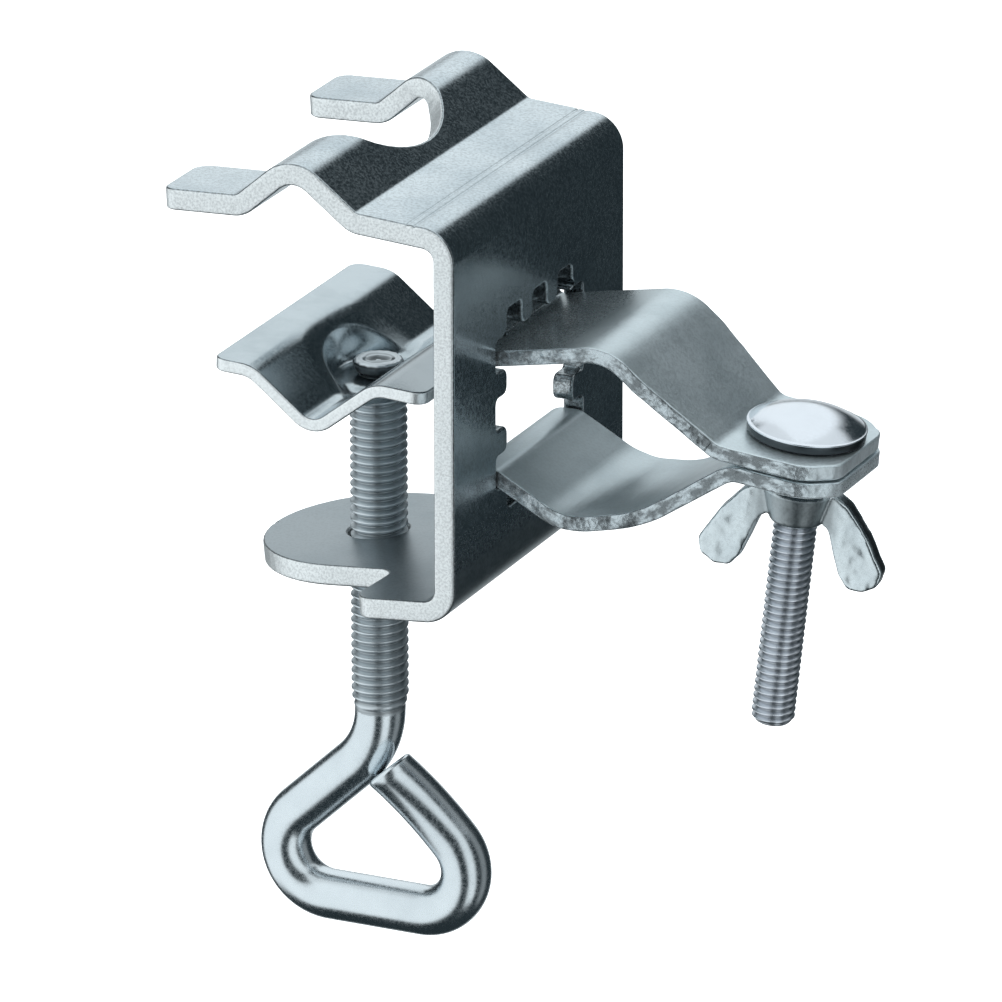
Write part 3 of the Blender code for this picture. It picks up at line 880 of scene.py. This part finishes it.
def handle_rings(bm):
    """The wire below the thread: loop handle with its free end beside the shank."""
    path = BentPath([(SCREW_X, SCREW_HEAD_Z), *HANDLE_CORNERS], HANDLE_BENDS)
    start = SCREW_HEAD_Z - SCREW_THREAD_END_Z
    stations = [s for s in path.stations(HANDLE_STEP, support=0.4) if s > start]
    free = stations[-1]
    leg = path.length - HANDLE_END_ROUND - free
    sections = [(start, SCREW_WIRE_R)] + [(s, SCREW_WIRE_R) for s in stations]
    leg_rings, end_rings = 12, 4
    sections += [(free + leg * k / leg_rings, SCREW_WIRE_R) for k in range(1, leg_rings + 1)]
    for k in range(1, end_rings + 1):
        a = math.pi / 2 * k / end_rings
        s = path.length - HANDLE_END_ROUND * (1 - math.sin(a))
        sections.append((s, SCREW_WIRE_R - HANDLE_END_ROUND * (1 - math.cos(a))))
    sections.append((path.length, SCREW_WIRE_R - HANDLE_END_FLAT))
    loops = []
    for s, radius in sections:
        point, direction = path.at(s)
        side = left_of(direction)
        aside = HANDLE_END_SIDE * min(1.0, max(0.0, (s - free) / leg)) ** 2
        loop = []
        for i in range(THREAD_COLUMNS):
            a = 2 * math.pi * i / THREAD_COLUMNS
            across = side * (radius * math.cos(a))
            y = aside + radius * math.sin(a)
            loop.append(bm.verts.new((point.x + across.x, y, point.y + across.y)))
        loops.append(loop)
    bridge(bm, loops, cap_last=True)


def clamp_screw(mat):
    bm = bmesh.new()
    add_thread(bm, SCREW_X, SCREW_COLLAR_Z, SCREW_THREAD_END_Z, SCREW_PITCH, screw_radius)
    screw_head(bm)
    handle_rings(bm)
    add_object("clamp_screw_rod", bm, "screw", "clamp_screw", mat)


def bolt_radius(z, share):
    """Radius of the carriage bolt: run out under its neck, chamfered at its tip."""
    root = BOLT_R - BOLT_THREAD_DEPTH
    thread = root + (BOLT_R - root) * share
    run_out = smooth_step((BOLT_RUN_OUT_FROM - z) / (BOLT_RUN_OUT_TURNS * BOLT_PITCH))
    radius = BOLT_SHANK_R + (thread - BOLT_SHANK_R) * run_out
    return min(radius, root - BOLT_CHAMFER + (z + BOLT_LENGTH) * BOLT_CHAMFER_SLOPE)


def head_profile():
    """(z, radius) from the top of the dome, round the rim and down the collar under it."""
    sphere = (HEAD_R**2 + HEAD_RISE**2) / (2 * HEAD_RISE)
    rim = GAP + HEAD_RIM_Z
    profile = []
    reach = HEAD_R - HEAD_RIM
    for k in range(1, DOME_RINGS + 1):
        radius = reach * k / DOME_RINGS
        rise = math.sqrt(sphere**2 - radius**2) - (sphere - HEAD_RISE)
        profile.append((rim + rise, radius))
    for degrees in RIM_DEGREES:
        a = math.radians(degrees)
        profile.append((rim + HEAD_RIM * math.cos(a), reach + HEAD_RIM * math.sin(a)))
    collar = (rim - 0.2, GAP + COLLAR_SOFT, GAP)
    return profile + [(z, HEAD_R - inward) for z, inward in zip(collar, COLLAR_IN)]


def square_ring(bm, z, half):
    """Vertices of a square with rounded corners, as many as a ring has."""
    def squareness(a):
        total = abs(math.cos(a)) ** NECK_POWER + abs(math.sin(a)) ** NECK_POWER
        return total ** (-1 / NECK_POWER)

    return ring(bm, 0.0, z, half, wobble=squareness)


def carriage_bolt(mat):
    bm = bmesh.new()
    foot = BOLT_THREAD_TOP
    add_thread(bm, 0.0, foot, -BOLT_LENGTH, BOLT_PITCH, bolt_radius)
    # Painted shade on the collar under the dome's rim and on the head's underside
    under = GAP + HEAD_RIM_Z - 0.1
    loops = []
    for z, radius in head_profile():
        loops.append(ring(bm, 0.0, z, radius, mark=1.0 if z < under else 0.0))
    loops.append(ring(bm, 0.0, GAP, HEAD_UNDER_R, mark=1.0))
    loops.append(square_ring(bm, GAP, NECK_HALF))
    loops.append(square_ring(bm, -JAW_THICK + 0.1, NECK_HALF))
    loops.append(square_ring(bm, -JAW_THICK - 0.1, NECK_HALF - NECK_CHAMFER))
    loops.append(ring(bm, 0.0, foot, bolt_radius(foot, 0.0)))
    bridge(bm, loops, cap_first=True)
    tip = bolt_radius(-BOLT_LENGTH, 0.0)
    end = [ring(bm, 0.0, -BOLT_LENGTH, tip - inward) for inward in BOLT_END_INSETS]
    for vert in end[-1]:
        vert.co.z += BOLT_END_DISH
    bridge(bm, end, cap_last=True)
    add_object("carriage_bolt_rolled", bm, "upper_arm", "carriage_bolt", mat, on_bolt=True)


def turned(bm, profile):
    """Closed ring from a closed (z, radius) profile."""
    loops = [ring(bm, 0.0, z, radius, ROUND_COLUMNS) for z, radius in profile]
    bridge(bm, [*loops, loops[0]])


def washer(mat):
    bm = bmesh.new()
    top = -WASHER_TOP
    foot = top - WASHER_THICK
    corners = [
        (top, WASHER_R, 1),
        (foot, WASHER_R, 1),
        (foot, WASHER_HOLE_R, -1),
        (top, WASHER_HOLE_R, -1),
    ]
    profile = []
    for k, (z, radius, out) in enumerate(corners):
        up = 1 if z == top else -1
        for step in range(5):
            a = math.pi / 2 * (step / 4 if k % 2 == 0 else 1 - step / 4)
            down = WASHER_SOFT * (1 - math.cos(a))
            inward = WASHER_SOFT * (1 - math.sin(a))
            profile.append((z - up * down, radius - out * inward))
    turned(bm, profile)
    add_object("washer_ring_turned", bm, "washer_ring", "washer", mat, on_bolt=True)


def wing_blade(bm, sign):
    """One wing: a slab with its outline rounded, thinner towards the tip."""
    outline = evened(rounded([(x, z, WING_ROUND) for x, z in WING_OUTLINE], steps=8), WING_STEP)
    sides = []
    for side in (-1, 1):
        row = []
        for p in outline:
            along = min(1.0, max(0.0, (-p.y - WING_TAPER_FROM) / WING_TAPER_LENGTH))
            half = WING_HALF_THICK * (1.0 - WING_TAPER * along)
            row.append(bm.verts.new((sign * p.x, side * half, p.y)))
        sides.append(row)
    near, far = sides
    for i in range(len(near)):
        bm.faces.new([near[i - 1], near[i], far[i], far[i - 1]])
    bm.faces.new(near)
    bm.faces.new(far)


def fused(bm, voxel, smoothing):
    """One skin round overlapping closed shells, softened like a casting."""
    mesh = bpy.data.meshes.new("casting")
    bm.to_mesh(mesh)
    bm.free()
    ob = bpy.data.objects.new("casting", mesh)
    bpy.context.collection.objects.link(ob)
    remesh = ob.modifiers.new("fuse", "REMESH")
    remesh.mode = "VOXEL"
    remesh.voxel_size = voxel
    soften = ob.modifiers.new("soften", "SMOOTH")
    soften.iterations = smoothing
    soften.factor = 0.5
    bpy.context.view_layer.update()
    graph = bpy.context.evaluated_depsgraph_get()
    out = bmesh.new()
    out.from_mesh(ob.evaluated_get(graph).to_mesh())
    bpy.data.objects.remove(ob, do_unlink=True)
    return out


def nut_skin_and_shade(bm):
    """Uneven cast skin, with painted shade on the hub's cone and round the narrow sides of the
    wings.
    """
    shade_and_dullness = bm.verts.layers.float.new("shade_and_dullness")
    face = WING_HALF_THICK * (1.0 - WING_TAPER)
    band = 0.3
    for vert in bm.verts:
        reach = math.hypot(vert.co.x, vert.co.y)
        if reach > NUT_BORE_R + 0.5:
            wing = smooth_step((reach - HUB_TOP_R) / 2.0)
            side = smooth_step((face - band - abs(vert.co.y)) / band)
            cone = smooth_step((-HUB_LIP - 0.4 - vert.co.z) / 0.4)
            vert[shade_and_dullness] = HUB_SHADE_AND_DULL * cone * (1.0 - wing) + WING_SIDE_SHADE_AND_DULL * side * wing
            bumps = HUB_BUMPS + WING_BUMPS * wing
            vert.co += rough(vert.co, CAST_GRAIN, CAST_SEED) * bumps


def wing_nut(mat):
    bm = bmesh.new()
    # (z, radius) from the washer down the lip and the cone, and back up the bore
    hub = [
        (0.0, HUB_TOP_R - HUB_CHAMFER),
        (-HUB_CHAMFER / 2, HUB_TOP_R),
        (-HUB_LIP, HUB_TOP_R),
        (-HUB_LIP - 0.2, HUB_TOP_R - 0.15),
        (-HUB_HEIGHT + HUB_SOFT, HUB_FOOT_R + 0.05),
        (-HUB_HEIGHT, HUB_FOOT_R - 0.2),
        (-HUB_HEIGHT, NUT_BORE_R + BORE_CHAMFER),
        (-HUB_HEIGHT + HUB_SOFT, NUT_BORE_R),
        (-HUB_SOFT, NUT_BORE_R),
        (0.0, NUT_BORE_R + BORE_CHAMFER),
    ]
    turned(bm, hub)
    for sign in (1, -1):
        wing_blade(bm, sign)
    bmesh.ops.recalc_face_normals(bm, faces=bm.faces)
    bm = fused(bm, CAST_VOXEL, CAST_SMOOTHING)
    nut_skin_and_shade(bm)
    spin = Matrix.Rotation(NUT_REST_TURN, 3, "Z")
    bmesh.ops.rotate(bm, cent=(0, 0, 0), matrix=spin, verts=bm.verts)
    bmesh.ops.translate(bm, vec=(0, 0, -NUT_TOP), verts=bm.verts)
    add_object("wing_nut_casting", bm, "nut", "wing_nut", mat, on_bolt=True)


# ---- materials

class Nodes:
    """Short calls for wiring a shader tree."""

    def __init__(self, tree):
        self.tree = tree

    def node(self, kind, **settings):
        made = self.tree.nodes.new(kind)
        for name, value in settings.items():
            setattr(made, name, value)
        return made

    def feed(self, socket, value):
        if isinstance(value, bpy.types.NodeSocket):
            self.tree.links.new(value, socket)
        else:
            socket.default_value = value

    def math(self, operation, a, b=0.0):
        made = self.node("ShaderNodeMath", operation=operation)
        self.feed(made.inputs[0], a)
        self.feed(made.inputs[1], b)
        return made.outputs[0]

    def ramp(self, value, low, high, out_low=0.0, out_high=1.0):
        made = self.node("ShaderNodeMapRange", interpolation_type="SMOOTHSTEP")
        for socket, number in zip(made.inputs, (value, low, high, out_low, out_high)):
            self.feed(socket, number)
        return made.outputs[0]

    def noise(self, vector, scale, detail, roughness):
        made = self.node("ShaderNodeTexNoise")
        self.feed(made.inputs["Vector"], vector)
        made.inputs["Scale"].default_value = scale
        made.inputs["Detail"].default_value = detail
        made.inputs["Roughness"].default_value = roughness
        return made.outputs["Fac"]

    def cells(self, vector, scale):
        made = self.node("ShaderNodeTexVoronoi", feature="F1")
        self.feed(made.inputs["Vector"], vector)
        made.inputs["Scale"].default_value = scale
        return made.outputs["Distance"]

    def stretched(self, vector, scale):
        made = self.node("ShaderNodeMapping")
        self.feed(made.inputs["Vector"], vector)
        made.inputs["Scale"].default_value = scale
        return made.outputs[0]

    def mix(self, share, one, two):
        made = self.node("ShaderNodeMix", data_type="RGBA")
        self.feed(made.inputs["Factor"], share)
        self.feed(made.inputs["A"], one)
        self.feed(made.inputs["B"], two)
        return made.outputs["Result"]

    def bump(self, height, distance, normal=None):
        made = self.node("ShaderNodeBump")
        made.inputs["Strength"].default_value = 1.0
        made.inputs["Distance"].default_value = distance
        self.feed(made.inputs["Height"], height)
        if normal is not None:
            self.feed(made.inputs["Normal"], normal)
        return made.outputs[0]


@dataclass
class Cut:
    """A sheared edge: its colour, the shade of its flecks, its gloss and its chips.

    torn goes from 0 for fine flecks to 1 for patches torn along the edge. rim is the
    shade of a painted line where the edge meets the face: below 1 it is darker, above 1 it
    is a painted highlight.
    """

    colour: tuple
    fleck: float
    gloss: float
    chip_depth: float
    chip_scale: float
    torn: float
    rim: float


@dataclass
class Finish:
    """One zinc finish: colour and stain, gloss, depth of its grain, and what is special.

    brushed and rolled are the depths of fine lines along a strip and of waves across it.
    Below its z pair the finish is rougher and darkened towards the stain colour as painted shade.
    Its x pair runs from where painted shade darkens it, near the back plate, to where it
    is clean.
    """

    colour: tuple
    stain_and_shade: tuple
    gloss: float
    grain: float
    mottle: float = 0.1
    metallic: float = 1.0
    brushed: float = 0.0
    rolled: float = 0.0
    cut: Cut = None
    dull_and_shade_z: tuple = None
    shadow_x: tuple = None


def shade_of(colour, share=1.0):
    return (*[c * share for c in colour], 1.0)


# How fine each pattern is: features per metre, or along and across a strip's flat map
CLOUD_SCALE = 90.0
SPECK_SCALE = 2300.0
GRAIN_SCALE = 6500.0
FLECK_SCALE = 3000.0
TEAR_SCALE = (30.0, 52.0, 1.0)
BRUSH_SCALE = (7.0, 380.0, 1.0)
ROLL_SCALE = (55.0, 2.5, 1.0)
# Colour of the painted shade in thread roots, under the bolt's head, on the screw's head and on
# the nut
ROOT_SHADE_COLOUR = (0.025, 0.033, 0.037)


def add_cut_edge(n, cut, place, flat, tone, gloss, normal):
    """Blend a sheared edge over the face's finish where the mesh says it is cut."""
    where = n.node("ShaderNodeAttribute", attribute_name="cut").outputs["Fac"]
    flecks = n.noise(place, FLECK_SCALE, 4.0, 0.7)
    tears = n.noise(n.stretched(flat, TEAR_SCALE), 1.0, 3.0, 0.62)
    step = n.math("MULTIPLY", n.math("SUBTRACT", tears, flecks), cut.torn)
    mark = n.math("ADD", flecks, step)
    spots = n.ramp(mark, 0.4, 0.58)
    pale = n.mix(spots, shade_of(cut.colour, cut.fleck), shade_of(cut.colour))
    share = n.ramp(where, 0.35, 0.8)
    tone = n.mix(share, tone, pale)
    # Painted line where the edge meets the face: darker for the bracket and saddle, a painted
    # highlight for the straps
    rim = n.math("MULTIPLY", n.ramp(where, 0.02, 0.2), n.ramp(where, 0.3, 0.75, 1.0, 0.0))
    rim_line = n.math("MULTIPLY", rim, n.ramp(flecks, 0.42, 0.58, 0.85, 0.3))
    tone = n.mix(rim_line, tone, shade_of(cut.colour, cut.rim))
    step = n.math("SUBTRACT", n.ramp(flecks, 0.3, 0.6, cut.gloss + 0.15, cut.gloss), gloss)
    gloss = n.math("ADD", gloss, n.math("MULTIPLY", share, step))
    facets = n.math("MULTIPLY", n.cells(place, cut.chip_scale), 0.4)
    chips = n.math("MULTIPLY", n.math("ADD", mark, facets), share)
    normal = n.bump(chips, cut.chip_depth, normal)
    return tone, gloss, normal


def apply_painted_shade(n, tone, gloss):
    """Threads are duller than the wire, with painted shade towards their roots; the same layer
    paints shade under the bolt's head, on the screw's peened head and on the wing nut.
    """
    shade_and_dullness = n.node("ShaderNodeAttribute", attribute_name="shade_and_dullness").outputs["Fac"]
    tone = n.mix(n.ramp(shade_and_dullness, 0.5, 1.0, 0.0, 0.92), tone, shade_of(ROOT_SHADE_COLOUR))
    gloss = n.math("ADD", gloss, n.ramp(shade_and_dullness, 0.0, 0.5, 0.0, 0.16))
    return tone, gloss


def zinc(name, finish):
    """Bright zinc plating over steel: mottled tone, fine grain, paler cut edges."""
    mat = bpy.data.materials.new(name)
    mat.use_nodes = True
    n = Nodes(mat.node_tree)
    shader = mat.node_tree.nodes["Principled BSDF"]
    shader.inputs["Metallic"].default_value = finish.metallic
    place = n.node("ShaderNodeTexCoord").outputs["Object"]
    flat = n.node("ShaderNodeUVMap", uv_map="flat").outputs[0]
    clouds = n.ramp(n.noise(place, CLOUD_SCALE, 5.0, 0.6), 0.35, 0.7, 0.0, 0.8)
    speck = n.noise(place, SPECK_SCALE, 3.0, 0.6)
    grain = n.noise(place, GRAIN_SCALE, 2.0, 0.6)
    tone = n.mix(clouds, shade_of(finish.colour), shade_of(finish.stain_and_shade))
    tone = n.mix(n.ramp(speck, 0.35, 0.6, finish.mottle, 0.0), tone, shade_of(finish.stain_and_shade, 0.2))
    gloss = n.ramp(speck, 0.35, 0.65, finish.gloss - 0.04, finish.gloss + 0.05)
    split = n.node("ShaderNodeSeparateXYZ")
    n.feed(split.inputs[0], place)
    # Painted shade near the back plate: darker towards the stain colour, and glossier
    if finish.shadow_x:
        low, high = finish.shadow_x
        close = n.ramp(split.outputs["X"], low, high, 1.0, 0.0)
        tone = n.mix(n.math("MULTIPLY", close, 0.5), tone, shade_of(finish.stain_and_shade, 0.3))
        gloss = n.math("MULTIPLY", gloss, n.ramp(close, 0.0, 1.0, 1.0, 0.65))
    # Painted shade low on the part: darker towards the stain colour, and rougher
    if finish.dull_and_shade_z:
        dull_and_shade = n.ramp(split.outputs["Z"], *finish.dull_and_shade_z, 1.0, 0.0)
        tone = n.mix(n.math("MULTIPLY", dull_and_shade, 0.55), tone, shade_of(finish.stain_and_shade, 0.35))
        gloss = n.math("ADD", gloss, n.math("MULTIPLY", dull_and_shade, 0.14))
    normal = n.bump(speck, finish.grain)
    normal = n.bump(grain, finish.grain * 0.35, normal)
    if finish.brushed:
        lines = n.noise(n.stretched(flat, BRUSH_SCALE), 1.0, 5.0, 0.7)
        normal = n.bump(lines, finish.brushed, normal)
    if finish.rolled:
        waves = n.noise(n.stretched(flat, ROLL_SCALE), 1.0, 3.0, 0.55)
        normal = n.bump(waves, finish.rolled, normal)
    if finish.cut:
        tone, gloss, normal = add_cut_edge(n, finish.cut, place, flat, tone, gloss, normal)
    # Painted shade and dullness from the mesh's layer for them
    tone, gloss = apply_painted_shade(n, tone, gloss)
    n.feed(shader.inputs["Base Color"], tone)
    n.feed(shader.inputs["Roughness"], gloss)
    n.feed(shader.inputs["Normal"], normal)
    return mat


UM = 1e-6
PALE = (0.98, 1.0, 1.0)
SHEET_CUT = Cut(
    PALE, fleck=0.8, gloss=0.42, chip_depth=30 * UM, chip_scale=1500.0, torn=0.1, rim=0.12
)
SADDLE_CUT = Cut(
    PALE, fleck=0.9, gloss=0.36, chip_depth=15 * UM, chip_scale=1500.0, torn=0.1, rim=0.12
)
# The straps' cuts carry a painted highlight along their rims
STRAP_CUT = Cut(
    (0.56, 0.62, 0.65),
    fleck=0.32, gloss=0.16, chip_depth=170 * UM, chip_scale=1250.0, torn=0.8, rim=1.6,
)
# The bracket's foot is rougher and darkened with painted shade
SHEET = dict(mottle=0.28, rolled=4 * UM, cut=SHEET_CUT, dull_and_shade_z=(-0.05, -0.04))
# The saddle's wing near the back plate is darkened with painted shade
SADDLE = dict(mottle=0.03, rolled=5 * UM, cut=SADDLE_CUT, shadow_x=(-0.004, -0.0095))
STRAP = dict(brushed=4 * UM, rolled=22 * UM, cut=STRAP_CUT, metallic=0.8)
STRAP_STAIN_AND_SHADE = (0.6, 0.68, 0.71)
FINISHES = {
    "bracket": Finish((0.74, 0.8, 0.83), (0.56, 0.63, 0.67), 0.22, 9 * UM, **SHEET),
    "saddle": Finish((0.6, 0.66, 0.69), (0.48, 0.54, 0.57), 0.2, 3 * UM, **SADDLE),
    "screw": Finish((0.82, 0.87, 0.9), (0.7, 0.75, 0.78), 0.24, 3 * UM, mottle=0.05),
    # The upper jaw is darkened with painted shade near the back plate
    "upper_jaw": Finish(
        (0.8, 0.88, 0.91), STRAP_STAIN_AND_SHADE, 0.4, 4 * UM, shadow_x=(0.014, 0.026), **STRAP
    ),
    "lower_jaw": Finish((0.72, 0.8, 0.83), STRAP_STAIN_AND_SHADE, 0.36, 4 * UM, **STRAP),
    "bolt": Finish((0.86, 0.89, 0.94), (0.78, 0.81, 0.86), 0.16, 1 * UM, mottle=0.0),
    "washer": Finish((0.85, 0.89, 0.91), (0.72, 0.76, 0.78), 0.22, 4 * UM),
    "nut": Finish((0.78, 0.84, 0.86), (0.66, 0.73, 0.76), 0.2, 8 * UM, mottle=0.2),
}


# ---- stage

# Metres. The wall is near enough for every view's camera to see it.
FLOOR_DROP = 0.3
FLOOR_SIZE = 8.0
WALL_R = 4.8
WHITE = (1.0, 1.0, 1.0)


def plain_material(name, colour, glow):
    mat = bpy.data.materials.new(name)
    mat.use_nodes = True
    shader = mat.node_tree.nodes["Principled BSDF"]
    shader.inputs["Base Color"].default_value = (*colour, 1.0)
    shader.inputs["Roughness"].default_value = 1.0
    shader.inputs["Specular IOR Level"].default_value = 0.0
    shader.inputs["Emission Color"].default_value = (*colour, 1.0)
    shader.inputs["Emission Strength"].default_value = glow
    return mat


def stage():
    """Pale floor and a pale wall all round. Metal sees the sky's softboxes instead."""
    level = CAD_BOX[0].z - FLOOR_DROP
    bpy.ops.mesh.primitive_plane_add(size=FLOOR_SIZE, location=(0, 0, level))
    floor = bpy.context.object
    floor.name = "floor"
    floor.data.materials.append(plain_material("floor_pale", WHITE, 1.0))
    bpy.ops.mesh.primitive_uv_sphere_add(segments=48, ring_count=24, radius=WALL_R)
    wall = bpy.context.object
    wall.name = "backdrop"
    wall.data.materials.append(plain_material("backdrop_pale", WHITE, 1.0))
    wall.visible_diffuse = False
    wall.visible_shadow = False
    for piece in (floor, wall):
        piece.visible_glossy = False


# Softboxes of the studio: heading from and to, height from and to, in degrees, strength,
# and how far its first side leans for each degree of height above BOX_LEVEL. Heading 0 is
# in front of the object, 90 to its right, and height is above the horizon.
SOFTBOXES = [
    (-100, 0, -42, 60, 1.15, 0.0),
    (35, 70, -50, 50, 0.95, 0.0),
    (98, 128, -50, 50, 0.25, 0.0),
    (-181, -128, 8, 90, 1.0, 0.8),
    (-260, 170, 42, 95, 0.8, 0.0),
    (-182, -135, -45, 4, 0.7, 0.0),
]
SOFT_EDGE = 6.0
BOX_LEVEL = 30.0
SEAM_HEADING = 225.0
ROOM_COLOUR = (0.022, 0.032, 0.037)
BOX_COLOUR = (0.9, 0.97, 1.0)


def softbox_share(n, heading, height, box):
    """How bright one softbox is in a direction, fading out over its soft edge."""
    left, right, low, high, strength, lean = box
    raised = n.math("SUBTRACT", height, BOX_LEVEL)
    leaning = n.math("ADD", heading, n.math("MULTIPLY", raised, lean))

    def between(first, start, last, end):
        rise = n.ramp(first, start - SOFT_EDGE, start + SOFT_EDGE)
        fall = n.ramp(last, end - SOFT_EDGE, end + SOFT_EDGE, 1.0, 0.0)
        return n.math("MULTIPLY", rise, fall)

    share = n.math("MULTIPLY", between(leaning, left, heading, right), strength)
    return n.math("MULTIPLY", share, between(height, low, height, high))


def studio_light():
    """A dark room with softboxes, as one sky."""
    sky = bpy.data.worlds.new("studio")
    bpy.context.scene.world = sky
    sky.use_nodes = True
    n = Nodes(sky.node_tree)
    split = n.node("ShaderNodeSeparateXYZ")
    n.feed(split.inputs[0], n.node("ShaderNodeTexCoord").outputs["Generated"])
    x, y, z = split.outputs
    heading = n.math("DEGREES", n.math("ARCTAN2", x, n.math("MULTIPLY", y, -1.0)))
    heading = n.math("FLOORED_MODULO", n.math("ADD", heading, SEAM_HEADING), 360.0)
    heading = n.math("SUBTRACT", heading, SEAM_HEADING)
    height = n.math("DEGREES", n.math("ARCSINE", z))
    total = None
    for box in SOFTBOXES:
        share = softbox_share(n, heading, height, box)
        total = share if total is None else n.math("MAXIMUM", total, share)
    colour = n.mix(n.math("MINIMUM", total, 1.0), shade_of(ROOM_COLOUR), shade_of(BOX_COLOUR))
    background = sky.node_tree.nodes["Background"]
    n.feed(background.inputs["Color"], colour)
    background.inputs["Strength"].default_value = 1.0


# Camera: where it looks from, how far it stands in millimetres, its lens, and where the
# picture's centre falls, in millimetres to the right of the layout's origin and above it
CAMERA_HEADING = math.radians(24.479)
CAMERA_HEIGHT = math.radians(19.23)
CAMERA_DISTANCE = 1412.35
CAMERA_LENS = 372.39
CAMERA_AIM = (-5.339, -17.886)


def camera():
    data = bpy.data.cameras.new("camera")
    data.lens = CAMERA_LENS
    data.sensor_width = 36.0
    data.clip_start, data.clip_end = 0.01, 100.0
    ob = bpy.data.objects.new("camera", data)
    bpy.context.collection.objects.link(ob)
    flat = math.cos(CAMERA_HEIGHT)
    heading = CAMERA_HEADING
    back = Vector((math.sin(heading) * flat, -math.cos(heading) * flat, math.sin(CAMERA_HEIGHT)))
    right = Vector((math.cos(heading), math.sin(heading), 0.0))
    eye = back * CAMERA_DISTANCE
    aim = right * CAMERA_AIM[0] + back.cross(right) * CAMERA_AIM[1]
    back = (eye - aim).normalized()
    right = (right - back * right.dot(back)).normalized()
    turn = Matrix((right, back.cross(right), back)).transposed()
    ob.matrix_world = Matrix.Translation((eye - DATUM) * MM) @ turn.to_4x4()
    bpy.context.scene.camera = ob


def main():
    bpy.context.scene.view_settings.view_transform = "Standard"
    camera()
    stage()
    studio_light()
    mats = {name: zinc(name + "_zinc_look", finish) for name, finish in FINISHES.items()}
    rail_bracket(mats["bracket"])
    pressure_saddle(mats["saddle"])
    clamp_screw(mats["screw"])
    upper_jaw(mats["upper_jaw"])
    lower_jaw(mats["lower_jaw"])
    carriage_bolt(mats["bolt"])
    washer(mats["washer"])
    wing_nut(mats["nut"])


main()
